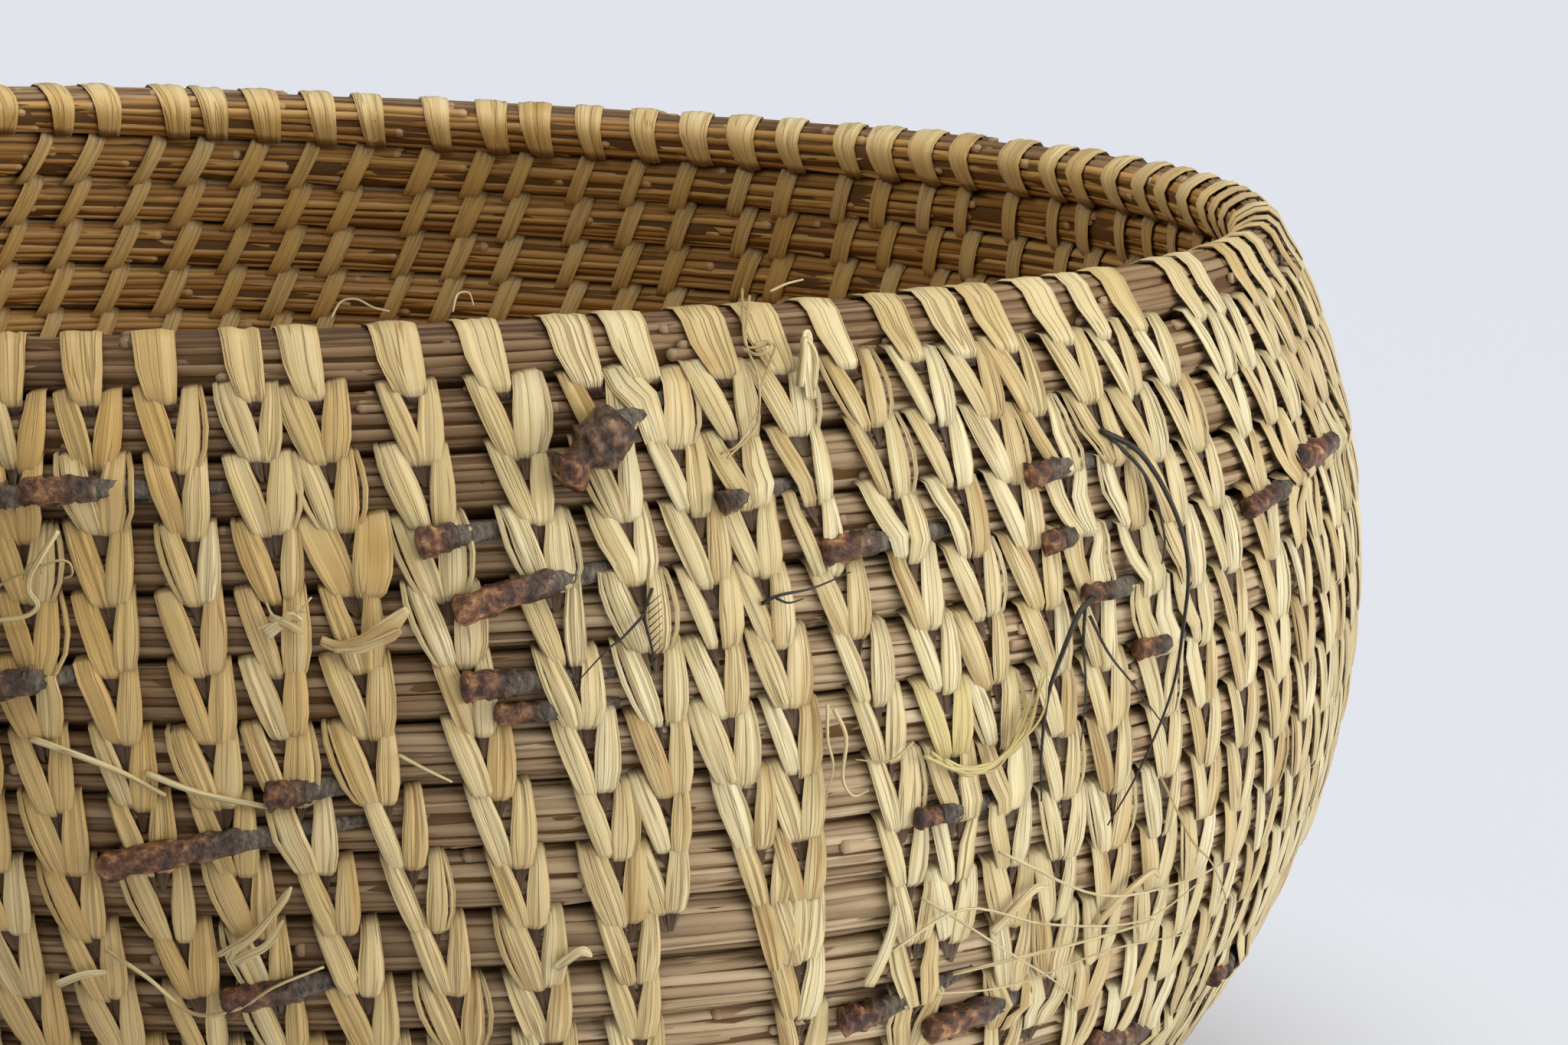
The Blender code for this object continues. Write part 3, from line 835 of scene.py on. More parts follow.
# %% One strip of raffia
STRIP_COLUMNS = np.array([-1.0, -0.68, -0.34, 0.0, 0.34, 0.68, 1.0, 0.6, -0.6])
STRIP_PLEATED = (np.abs(STRIP_COLUMNS) < 0.9) & (np.abs(STRIP_COLUMNS) != 0.6)
STRIP_CROWN = np.array([-0.16, 0.05, 0.09, 0.10, 0.09, 0.05, -0.16, -0.48, -0.48]) * MM
PLEAT_DEPTH = 0.42 * MM
PLEAT_SHIFT = 0.22
PLEAT_FADE = 0.35
PLEAT_FADE_TURN = 3.5
THINNING_WIDTH = 0.8 * MM
LEVEL_RINGS = 2
TILT_FADE_RINGS = 4
USUAL_TONE_MOST = 0.96
GRAIN_SHIFT = 900
STRIP_SEED = 11

strip_random = np.random.default_rng(STRIP_SEED)


def wobble(amount):
    """A small hand-made difference either way."""
    return amount * (2 * strip_random.random() - 1)


def usual_tone():
    """The number of a strip's own tone, below the ochre ones."""
    return strip_random.random() * USUAL_TONE_MOST


def strip_section(rings):
    """Sideways places and heights of a strip's points. The pleats fade in and out along it."""
    shifts = PLEAT_SHIFT * (strip_random.random(PLEATED_SIDES) - 0.5)
    columns = STRIP_COLUMNS + np.where(STRIP_PLEATED, shifts, 0)
    pleats = np.where(STRIP_PLEATED, strip_random.random(PLEATED_SIDES) ** 2 * PLEAT_DEPTH, 0)
    waves = np.linspace(0, PLEAT_FADE_TURN, rings) + FULL_TURN * strip_random.random()
    fade = 1 - PLEAT_FADE + PLEAT_FADE * np.sin(waves)
    return columns, STRIP_CROWN[None, :] - pleats[None, :] * fade[:, None]


def strip_fibre(rings, length, tone):
    """Fibre values of a strip: along in mm, across from -1 to 1, and its tone."""
    along = np.linspace(0, length / MM, rings)[:, None] + GRAIN_SHIFT * strip_random.random()
    return fibre_values((rings, PLEATED_SIDES), along, STRIP_COLUMNS, tone)


def lay_strip(crest, angle, down, middle, half_widths, lifts, tone, painted_shade, age_and_painted_shade, face=1):
    """A strip, down from the coil's upper edge, with its middle line sideways. Face is -1 inside."""
    rings = len(down)
    columns, heights = strip_section(rings)
    fade = np.clip((rings - LEVEL_RINGS - np.arange(rings)) / TILT_FADE_RINGS, 0, 1)
    tilt = np.arctan(np.gradient(middle, down)) * fade
    side = columns[None, :] * half_widths[:, None]
    sideways = middle[:, None] + side * np.cos(tilt)[:, None]
    distance = crest + COIL_PITCH / 2 - down[:, None] + side * np.sin(tilt)[:, None]
    radius = profile(distance)[0]
    thin = np.minimum(1, half_widths / THINNING_WIDTH)[:, None]
    spot = angle + sideways / radius
    across = HALF_THICKNESS + lifts[:, None] + heights * thin
    if face > 0:
        across = across + sheath_lift(distance, spot)
    points = place(distance, spot, face * across)
    return points, strip_fibre(rings, down[-1] - down[0], tone), painted_shade[:, None], age_and_painted_shade


# %% [markdown]
# Where a needle's dark sheath passes under a stitch, the strip rises over it. The sheaths are therefore
# laid out first. Each carries on from the root of a cap. The CAD nodes give 21 caps, and 14 small ones are
# added: nine that the photograph shows between the stitches, and five at the back, which it doesn't show.

# %% Where the caps and sheaths lie
CAP_NAMES = [f"needle_cap_{number:02d}" for number in range(1, 21)] + ["knot_cap"]
SMALL_CAPS = ((-71.5, 2.58, -70.6, 2.50), (-53.4, 2.64, -51.2, 2.56), (-52.8, 3.66, -51.1, 3.60),
              (-82.9, 5.38, -80.3, 5.35), (-50.4, 4.51, -48.0, 4.49), (-61.0, 7.52, -58.9, 7.48),
              (-35.3, 3.77, -31.0, 3.65), (-46.4, 5.51, -44.4, 5.47), (-28.8, 12.13, -26.7, 12.13),
              (36.0, 5.70, 38.5, 5.60), (81.0, 4.60, 83.5, 4.55), (118.0, 7.70, 120.5, 7.60),
              (-158.0, 3.60, -155.5, 3.55), (-124.0, 8.60, -121.5, 8.50))
SMALL_CAP_RADIUS = (1.25 * MM, 1.6 * MM)
SHEATH_LENGTH = (7 * MM, 17 * MM)
SHEATH_CLIMB = 0.6
SHEATH_SINK = 0.6
SHEATH_RADIUS = 1.3 * MM
SHEATH_REST = HALF_THICKNESS - 0.75 * MM
SMALL_CAP_HEIGHT = HALF_THICKNESS + 0.75 * MM
WALL_SAMPLES = np.linspace(HEEL_TOP - 30 * MM, RIM_DISTANCE + 10 * MM, 2400)
LIFT_REACH = 3.0 * MM
LIFT_SPARE = 0.3 * MM
LIFT_FALL = 2.2
LIFT_SPREAD = 1.5
NEAR_ANGLE = 0.5
CAP_END_PART = 0.02
CAP_SEED = 5

cap_random = np.random.default_rng(CAP_SEED)


# %% Find the caps and sheaths on the wall
def on_wall(point):
    """Distance, angle and height off the middle line of a point near the wall."""
    angle = math.atan2(point[1], point[0])
    radius, height, slope = profile(WALL_SAMPLES)
    height = height + rim_wave(WALL_SAMPLES, angle)
    away_r, away_z = math.hypot(point[0], point[1]) - radius, point[2] - height
    best = np.argmin(np.abs(away_r * np.cos(slope) + away_z * np.sin(slope)))
    off = away_r[best] * np.sin(slope[best]) - away_z[best] * np.cos(slope[best])
    return float(WALL_SAMPLES[best]), angle, float(off)


def cap_ends(name):
    """Free end and root of a CAD cap on the wall, and the cap's radius."""
    points = np.array([point.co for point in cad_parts[name].data.vertices])
    angles = np.arctan2(points[:, 1], points[:, 0])
    end_part = CAP_END_PART * np.ptp(angles)
    first = points[angles < angles.min() + end_part]
    last = points[angles > angles.max() - end_part]
    thickness = np.linalg.norm(first - first.mean(axis=0), axis=1).mean()
    return on_wall(first.mean(axis=0)), on_wall(last.mean(axis=0)), float(thickness)


def small_cap_ends(start_degrees, start_row, end_degrees, end_row):
    """Free end and root of a small cap that has no CAD node, and its radius."""
    ends = []
    for degrees, row in ((start_degrees, start_row), (end_degrees, end_row)):
        angle = math.radians(degrees)
        ends.append((float(spiral(turns_at(angle, row))[0]), angle, SMALL_CAP_HEIGHT))
    return *ends, between(SMALL_CAP_RADIUS, cap_random.random())


def sheath_after(free_end, root):
    """Start and end of the sheath that runs on from a cap's root into the coil."""
    length = between(SHEATH_LENGTH, cap_random.random())
    climb = (root[0] - free_end[0]) / (root[1] - free_end[1])
    turn = length / float(profile(root[0])[0])
    return root, (root[0] + SHEATH_CLIMB * climb * turn, root[1] + turn, SHEATH_REST)


cap_places = {name: cap_ends(name) for name in CAP_NAMES}
small_cap_places = [small_cap_ends(*spot) for spot in SMALL_CAPS]
sheaths = [sheath_after(*ends[:2]) for ends in [*cap_places.values(), *small_cap_places]]
sheath_table = np.array([[*start, *end] for start, end in sheaths])
print(len(cap_places), "caps from the CAD,", len(small_cap_places), "small ones")


def sheath_lift(distance, angle):
    """How far a strip rises at a place, to pass over the sheaths under it."""
    shape = np.broadcast(distance, angle).shape
    distance = np.broadcast_to(distance, shape)[..., None]
    angle = np.broadcast_to(angle, shape)[..., None]
    d0, a0, h0, d1, a1, h1 = sheath_table.T
    from_start = (angle - a0 + math.pi) % FULL_TURN - math.pi
    share = from_start / (a1 - a0)
    near = np.abs(from_start) < NEAR_ANGLE
    inside = np.clip(LIFT_SPREAD - np.abs(share - 0.5) * 2, 0, 1) * near
    share = np.clip(share, 0, 1)
    aside = (distance - d0 - (d1 - d0) * share) / LIFT_REACH
    top = h0 + (h1 - h0) * share ** SHEATH_SINK + SHEATH_RADIUS + LIFT_SPARE - HALF_THICKNESS
    return np.max(np.maximum(top, 0) * inside * np.exp(-aside ** 2 * LIFT_FALL), axis=-1)


# %% [markdown]
# The chains aren't evenly spaced: the table gives how many degrees the chains in the photograph stray
# from even places, at five rows on the way down. Where two chains run together, one of them stops. The
# chains at the back stray at random. Where the basket narrows towards its heel and base the V shapes
# narrow too, and once they would crowd, every second chain stops, as it does where a maker adds stitches.

# %% Where the chains lie
CHAIN_COUNT = 90
CHAIN_START_ANGLE = math.radians(-73)
CHAIN_LEAN = math.radians(0.6)
STRAY_ROWS = (0, 3, 6, 9, 12)
CHAIN_STRAYS = {
    80: (1.6, 1.5, 1.0, 1.3, 1.7), 81: (1.6, 1.5, 1.0, 1.3, 1.8), 82: (1.5, 1.5, 0.8, 1.6, 2.0),
    83: (1.5, 1.7, 0.9, 1.6, 2.0), 84: (1.8, 1.6, 0.3, 1.9, 2.4), 85: (0.8, 1.2, 0.5, 2.2, 2.5),
    86: (1.7, 1.2, 1.8, 2.8, 2.8), 87: (2.1, 2.4, 2.9, 3.6, 3.4), 88: (3.0, 2.7, 2.6, 0.9, 0.8),
    89: (1.9, 2.4, 1.8, 3.4, 4.0), 0: (2.2, 1.0, 1.3, 0.5, 0.4), 1: (1.4, 0.7, 2.0, 3.2, 3.6),
    2: (1.4, 1.4, 2.0, 1.6, 0.6), 3: (1.3, 1.2, 1.0, 1.5, 2.4), 4: (1.0, 1.0, 1.2, 0.8, 0.6),
    5: (0.0, 0.4, 0.6, 0.8, 0.8), 6: (0.1, 0.5, 0.9, 1.2, 1.0), 7: (-0.3, 0.3, 0.8, 1.0, 1.0),
    8: (-1.0, 0.2, 0.8, 1.0, 1.0)}
USUAL_STRAY = 0.9
STRAY_WOBBLE = 0.8
STOPPING_CHAINS = {88: 8, 89: 9, 2: 9, 4: 11, 13: 10, 22: 8, 31: 11,
                   37: 9, 46: 10, 53: 8, 61: 11, 68: 9, 74: 10}
FULL_STITCH_RADIUS = 131 * MM
CROWDED_SPACING = 4.3 * MM
FULL_SPACING = FULL_TURN * FULL_STITCH_RADIUS / CHAIN_COUNT
CHAIN_ROWS = int(SPIRAL_TURNS)
STITCHLESS_TURNS = 0.3


def chain_strays(chain):
    """Degrees by which a chain strays from its even place, at the rows of the table."""
    if chain in CHAIN_STRAYS:
        return CHAIN_STRAYS[chain]
    return [USUAL_STRAY + wobble(STRAY_WOBBLE) for _ in STRAY_ROWS]


def stitch_place(chain, row, strays):
    """Distance, angle, thickness share and turns of a chain's stitch on a row."""
    even = CHAIN_START_ANGLE + FULL_TURN * chain / CHAIN_COUNT
    back = ((COIL_END_ANGLE - even) % FULL_TURN) / FULL_TURN
    stray = math.radians(float(np.interp(row, STRAY_ROWS, strays)))
    turns = max(back + row - (CHAIN_LEAN * row + stray) / FULL_TURN, 0)
    distance, angle, share = spiral(turns)
    return float(distance), float(angle), float(share), turns


print("belly spacing", round(FULL_SPACING / MM, 1), "mm")

# %% One V
ARM_DOWN = np.array([-1.0, -0.2, 1.8, 4.2, 6.5, 8.5, 9.15, 9.35, 11.6]) * MM
LEFT_OUTER = np.array([3.9, 3.85, 3.6, 3.15, 2.6, 2.0, 1.75, 1.6, 0.5]) * MM
RIGHT_OUTER = np.array([3.5, 3.55, 3.5, 3.4, 3.05, 2.35, 1.9, 1.7, 0.6]) * MM
ARM_INNER = np.array([1.3, 1.3, 0.95, 0.28, -0.14, -0.26, -0.2, -0.1, 0.0]) * MM
ARM_LIFTS = np.array([-1.2, 0.15, 0.50, 0.66, 0.68, 0.58, 0.16, 0.02, 0.10]) * MM
# Painted shade at both ends of an arm: under the coil above, and in the small hole under the next fork.
ARM_PAINTED_SHADE = np.array([0.8, 0.2, 0.0, 0.0, 0.0, 0.03, 0.3, 1.0, 0.8])
SPECIAL_STITCHES = {(85, 3): (1.45, 0.10, 0.02), (89, 1): (1.28, 0.7, 0.6), (87, 1): (1.20, 0.6, 0.8),
                    (83, 4): (1.05, 0.5, 1.0), (84, 4): (1.05, 1.0, 0.5), (2, 6): (1.15, 2.0, 2.0)}
STRIP_SLACK = 0.45 * MM
STITCH_WOBBLES = dict(shift=0.3 * MM, height=0.05, width=0.12,
                      down=0.35 * MM, lift=0.12 * MM, sliver=0.15 * MM)
LEAST_ARM_WIDTH = 0.3 * MM
STITCH_SIDE_SHADE = (0.6, 1.4)
SLIVER_BEND = (0.5, 1.5)
SLIVER_SINK = 0.1 * MM
SLIVER_SHARE = 0.28
SLIVER_HALF_WIDTH = np.array([0.22, 0.30, 0.34, 0.34, 0.30, 0.24, 0.16, 0.12, 0.10]) * MM
SLIVER_BULGE = np.array([0.1, 0.25, 0.5, 0.6, 0.5, 0.3, 0.0, -0.2, -0.4]) * MM
GREEN_TONE = 2.0


def v_stitch(crest, angle, scale, special):
    """Both arms of one V. The right one is narrower, since the chain leans to its side."""
    width, left_tone, right_tone = special or (1.0, usual_tone(), usual_tone())
    lean = CHAIN_LEAN * float(profile(crest)[0]) / COIL_PITCH
    shift = wobble(STITCH_WOBBLES["shift"])
    height = 1 + wobble(STITCH_WOBBLES["height"])
    gap = strip_random.random() ** 2 * STRIP_SLACK
    arms = []
    for side, outer, tone in ((-1, LEFT_OUTER, left_tone), (1, RIGHT_OUTER, right_tone)):
        outer = outer * width * scale * (1 + wobble(STITCH_WOBBLES["width"]))
        inner = (ARM_INNER + gap) * scale
        outer = np.maximum(outer, inner + LEAST_ARM_WIDTH)
        down = ARM_DOWN * height + wobble(STITCH_WOBBLES["down"])
        leaning = shift + lean * down
        middle = side * (outer + inner) / 2 + leaning
        half_width = (outer - inner) / 2
        lifts = ARM_LIFTS + wobble(STITCH_WOBBLES["lift"])
        # Arms on the shaded left side take painted shade, mixed towards a darker, warmer raffia.
        age_and_painted_shade = float(painted_side_shade(angle)) * between(STITCH_SIDE_SHADE, strip_random.random())
        arms.append(lay_strip(crest, angle, down, middle, half_width, lifts, tone, ARM_PAINTED_SHADE, age_and_painted_shade))
        if strip_random.random() < SLIVER_SHARE:
            bulge = SLIVER_BULGE * between(SLIVER_BEND, strip_random.random())
            middle = side * (outer + bulge) * scale + leaning
            half_width = SLIVER_HALF_WIDTH * scale
            lifts = lifts - SLIVER_SINK + wobble(STITCH_WOBBLES["sliver"])
            arms.append(lay_strip(crest, angle, down, middle, half_width, lifts, tone, ARM_PAINTED_SHADE, age_and_painted_shade))
    return arms


# %% [markdown]
# On the inside each stitch is one slanting strip over each coil. Over the rim a plain, wider band comes
# up the inside, turns over the top and narrows to a tip in the fork of the first V.

# %% Inside strips and rim bands
INSIDE_DOWN = np.array([-0.9, 0.2, 2.0, 4.4, 6.6, 8.2, 9.0]) * MM
INSIDE_LIFTS = np.array([-1.2, -0.2, 0.32, 0.50, 0.30, -0.4, -1.3]) * MM
# Painted shade at both ends of an inside strip, where it dives into the coil.
INSIDE_STRIP_PAINTED_SHADE = np.array([0.7, 0.2, 0.0, 0.0, 0.0, 0.2, 0.7])
INSIDE_SLANT = 0.42
INSIDE_HALF_WIDTH = 1.45 * MM
# How far inside strips, wraps and the inner part of a band mix towards the darker raffia of painted shade.
INSIDE_STRIP_SHADE_MIX = 0.75
INSIDE_WOBBLE = 0.15
BAND_SHARES = np.array([0.60, 0.53, 0.46, 0.39, 0.32, 0.26, 0.20, 0.13, 0.06])
BAND_BELOW = np.array([-1.4, -3.6, -5.1, -5.8, -6.0, -6.9]) * MM
BAND_OUT = np.array([0.30, 0.55, 0.60, 0.18, 0.0, -0.15]) * MM
BAND_LIFT = 0.32 * MM
BAND_LENGTH = 22 * MM
BAND_WALK = np.array([0, 0.08, 0.16, 0.24, 0.32, 0.4, 0.48, 0.56,
                      0.64, 0.74, 0.84, 0.91, 0.95, 0.96, 1])
BAND_HALF_WIDTHS = np.interp(BAND_WALK, (0, 0.3, 0.5, 0.74, 0.9, 0.96, 1),
                             (1.7, 2.4, 2.55, 2.3, 1.8, 1.4, 1.2)) * MM
BAND_SIDEWAYS = np.interp(BAND_WALK, (0, 0.5, 1), (-2.8, -1.1, 1.5)) * MM
BAND_SHIFT = 0.4 * MM
BAND_WIDTH_WOBBLE = 0.14
# Painted shade at both ends of a band, and painted inside shade on its part inside the rim.
BAND_PAINTED_SHADE = np.interp(BAND_WALK, (0, 0.08, 0.91, 0.95, 0.96), (0.7, 0, 0, 0.3, 1))
BAND_INSIDE_SHADE = np.interp(BAND_WALK, (0, 0.28, 0.5, 1), (INSIDE_STRIP_SHADE_MIX, INSIDE_STRIP_SHADE_MIX, 0.2, 0))


def inside_strip(crest, angle, scale):
    """One slanting strip on the inside face of a coil."""
    shift = wobble(STITCH_WOBBLES["shift"])
    middle = (INSIDE_SLANT * (INSIDE_DOWN - COIL_PITCH / 2) + shift) * scale
    half_width = INSIDE_HALF_WIDTH * scale * (1 + wobble(INSIDE_WOBBLE))
    half_widths = np.full(len(INSIDE_DOWN), half_width)
    tone = usual_tone()
    age_and_painted_shade = INSIDE_STRIP_SHADE_MIX + wobble(INSIDE_WOBBLE)
    return lay_strip(crest, angle, INSIDE_DOWN, middle, half_widths, INSIDE_LIFTS, tone,
                     INSIDE_STRIP_PAINTED_SHADE, age_and_painted_shade, -1)


def rim_band(crest, angle, share):
    """The plain band over the rim coil."""
    rings = len(BAND_WALK)
    columns, heights = strip_section(rings)
    out, up = share * HALF_THICKNESS, share * COIL_PITCH / 2
    across, along = bundle_outline(BAND_SHARES)
    across = np.concatenate([across * (out + BAND_LIFT), out + BAND_OUT])
    along = np.concatenate([along * (up + BAND_LIFT), BAND_BELOW - COIL_PITCH / 2 * (share - 1)])
    sideways = BAND_SIDEWAYS + wobble(BAND_SHIFT)
    side = columns[None, :] * BAND_HALF_WIDTHS[:, None] * (1 + wobble(BAND_WIDTH_WOBBLE))
    reach = 1 + heights / np.hypot(across, along)[:, None]
    spot = angle + (sideways[:, None] + side) / profile(crest)[0]
    points = place(np.full(spot.shape, crest), spot, across[:, None] * reach, along[:, None] * reach)
    fibre = strip_fibre(rings, BAND_LENGTH, usual_tone())
    return points, fibre, BAND_PAINTED_SHADE[:, None], np.maximum(BAND_INSIDE_SHADE, painted_side_shade(angle))[:, None]


# %% [markdown]
# The chains are joined in nine sectors of ten, each with its own rim bands, so that every sector stands
# for two of the chains in the CAD frame.

# %% Sew the chains
SECTORS = 9
CHAINS_PER_SECTOR = CHAIN_COUNT // SECTORS
CAD_CHAINS_PER_SECTOR = 2


def chain_stitches(chain):
    """All strips of one chain."""
    strays = chain_strays(chain)
    strips = []
    for row in range(CHAIN_ROWS):
        crest, angle, share, turns = stitch_place(chain, row, strays)
        spacing = FULL_TURN * float(profile(crest)[0]) / CHAIN_COUNT
        last_row = STOPPING_CHAINS.get(chain, CHAIN_ROWS)
        if turns > SPIRAL_TURNS - STITCHLESS_TURNS or row > last_row:
            break
        crowding = max(0, math.ceil(math.log2(CROWDED_SPACING / spacing)))
        if chain % 2 ** crowding:
            break
        scale = min(1, spacing * 2 ** crowding / FULL_SPACING)
        if row == 0:
            strips.append(rim_band(crest, angle, share))
        else:
            strips += v_stitch(crest, angle, scale, SPECIAL_STITCHES.get((chain, row)))
            strips.append(inside_strip(crest, angle, scale))
    return strips


def sew():
    """Nine sectors of stitches, each standing for its two CAD chains."""
    for sector in range(SECTORS):
        chains = range(sector * CHAINS_PER_SECTOR, (sector + 1) * CHAINS_PER_SECTOR)
        strips = [strip for chain in chains for strip in chain_stitches(chain)]
        first = sector * CAD_CHAINS_PER_SECTOR + 1
        nodes = [f"raffia_chain_{first + number:02d}" for number in range(CAD_CHAINS_PER_SECTOR)]
        dress(join_tubes(f"raffia_stitches_{sector + 1}", strips, raffia_finish), "raffia", *nodes)


sew()

# %% [markdown]
# ## Needle caps
# A cap is the woody end that held a bunch of needles on its twig. The maker leaves some on, poking out of
# the coil, with the dark sheath running back under the next stitch. Each cap follows the middle line of
# its CAD node. Its rings swell and pinch at random, and its free end is a broken stub.

# %% Caps
CAP_SIDES = 12
CAP_RINGS = 15
CAP_SWELL = (0.0, 0.03, 0.09, 0.2, 0.4, 0.55, 0.8, 1.0)
CAP_SWELL_WIDTH = (0.60, 0.96, 1.12, 0.92, 1.06, 0.90, 0.96, 0.92)
CAP_LUMPS = 0.30
CAP_GREYING = ((0.45, 0.85), (0.0, 0.85))
KNOT_SWELL_WIDTH = (0.3, 0.7, 0.98, 0.85, 0.62, 1.10, 1.25, 1.0)
KNOT_LUMPS = 0.45
KNOT_GREYING = ((0.30, 0.42), (0.0, 0.6))
CAP_SHAPE = (CAP_SWELL_WIDTH, CAP_LUMPS, CAP_GREYING)
KNOT_SHAPE = (KNOT_SWELL_WIDTH, KNOT_LUMPS, KNOT_GREYING)
LUMP_EVENNESS = 1.8
ROUGHNESS = 0.12
STRAND_START = 5
UP_A_LITTLE = np.array([0, 0, 1e-4])


def roughness(*shape):
    """Random factors near one, for an uneven surface."""
    return 1 + ROUGHNESS * (cap_random.random(shape) - 0.5)


def carried_rings(centres, radii, sides):
    """Rings of points round a line, each square to the line."""
    ahead = np.gradient(centres, axis=0)
    ahead /= np.linalg.norm(ahead, axis=1)[:, None]
    outward = centres * np.array([1, 1, 0]) + UP_A_LITTLE
    side = np.cross(ahead, outward)
    side /= np.linalg.norm(side, axis=1)[:, None]
    up = np.cross(side, ahead)
    turn = FULL_TURN * np.arange(sides) / sides
    ring = side[:, None, :] * np.cos(turn)[None, :, None]
    ring = ring + up[:, None, :] * np.sin(turn)[None, :, None]
    return centres[:, None, :] + ring * radii[..., None]


def round_strand(centres, radii, sides, tone):
    """A round strand along a line, with its fibre values."""
    points = carried_rings(centres, np.broadcast_to(radii, (len(centres), sides)), sides)
    steps = np.linalg.norm(np.diff(centres, axis=0), axis=1)
    walked = STRAND_START + np.concatenate([[0], np.cumsum(steps)])[:, None] / MM
    round_share = 2 * np.abs(np.arange(sides) / sides - 0.5)
    return points, fibre_values(points.shape[:2], walked, round_share, tone), 0.0, 0.0


def cap_strand(free_end, root, thickness, swell_width, lumps, greying):
    """A lumpy cap between two places on the wall."""
    walk = np.linspace(0, 1, CAP_RINGS)
    line = between((np.array(free_end), np.array(root)), walk[:, None])
    rough = cap_random.random((CAP_RINGS, CAP_SIDES)) - 0.5
    rough = (rough + np.roll(rough, 1, axis=0) + np.roll(rough, 1, axis=1)) / LUMP_EVENNESS
    pinch = roughness(CAP_RINGS, 1)
    swell = np.interp(walk, CAP_SWELL, swell_width)[:, None]
    radii = thickness * swell * (1 + lumps * rough) * pinch
    centres = place(*line.T)
    points, fibre, painted_shade, _ = round_strand(centres, radii, CAP_SIDES, cap_random.random())
    return points, fibre, painted_shade, np.interp(walk, *greying)[:, None]


def dress_caps():
    """One piece for each cap of the CAD, and one for all the small ones."""
    for name, ends in cap_places.items():
        shape = KNOT_SHAPE if name == "knot_cap" else CAP_SHAPE
        cap = cap_strand(*ends, *shape)
        dress(join_tubes(f"{name}_bark", [cap], bark_finish), "cap_bark", name)
    small = [cap_strand(*ends, *CAP_SHAPE) for ends in small_cap_places]
    dress(join_tubes("small_needle_caps", small, bark_finish), "cap_bark")


dress_caps()

# %% Sheaths
SHEATH_RINGS = 12
SHEATH_SIDES = 10
SHEATH_OVERLAP = -0.12
SHEATH_SWELL = (SHEATH_OVERLAP, 0.05, 0.5, 1)
SHEATH_SWELL_WIDTH = (1.1, 1.15, 0.95, 0.5)


def sheath_strand(start, end):
    """The dark sheath behind a cap, sinking into the coil."""
    walk = np.linspace(SHEATH_OVERLAP, 1, SHEATH_RINGS)
    sink = np.clip(walk, 0, 1) ** SHEATH_SINK
    swell = np.interp(walk, SHEATH_SWELL, SHEATH_SWELL_WIDTH)[:, None]
    radii = SHEATH_RADIUS * swell * roughness(SHEATH_RINGS, SHEATH_SIDES)
    ends = np.array((start, end))[..., None]
    centres = place(*between(ends, np.stack([walk, walk, sink])))
    return round_strand(centres, radii, SHEATH_SIDES, cap_random.random())


sheath_strands = [sheath_strand(*ends) for ends in sheaths]
dress(join_tubes("dark_sheaths", sheath_strands, sheath_finish), "cap_bark")

# %% [markdown]
# ## Loose fibres and threads
# Hand sewing leaves ends: pale curls of raffia, a knot where a new strip starts at the rim, a frayed tuft
# and a yellow-green frayed patch, long straw fibres low on the right, and fine black threads. Each is a
# strand along a smooth line through a few places on the wall: an angle in degrees, a row, and a height
# above the coils in millimetres. The ribbons are flat, and the rest are round.

# %% Smooth lines on the wall
STRAND_STEPS = 6
STRAND_SIDES = 5
TONE_COUNT = 15


def smooth_line(stops):
    """A smooth line through stops on the wall, with steps between each two."""
    stops = np.array(stops, float)
    padded = np.concatenate([2 * stops[:1] - stops[1:2], stops, 2 * stops[-1:] - stops[-2:-1]])
    share = np.linspace(0, 1, STRAND_STEPS, endpoint=False)[:, None]
    rows = []
    for before, first, second, after in zip(padded, padded[1:], padded[2:], padded[3:]):
        bend = 2 * before - 5 * first + 4 * second - after
        twist = 3 * (first - second) + after - before
        rows.append(first + 0.5 * share * ((second - before) + share * (bend + share * twist)))
    line = np.concatenate(rows + [stops[-1:]])
    angle = np.radians(line[:, 0])
    distance = RIM_DISTANCE - COIL_PITCH * turns_at(angle, line[:, 1])
    return place(distance, angle, HALF_THICKNESS + line[:, 2] * MM)


def loose_strand(stops, start_radius, end_radius, tone):
    """A loose strand that thins from one end to the other."""
    centres = smooth_line(stops)
    radii = np.linspace(start_radius, end_radius, len(centres))[:, None] * MM
    return round_strand(centres, radii, STRAND_SIDES, tone)


def table_strands(table, tone_step):
    """Loose strands from a table of start radius, end radius and stops."""
    strands = []
    for number, (start_radius, end_radius, stops) in enumerate(table):
        tone = tone_step * (number % TONE_COUNT)
        strands.append(loose_strand(stops, start_radius, end_radius, tone))
    return strands


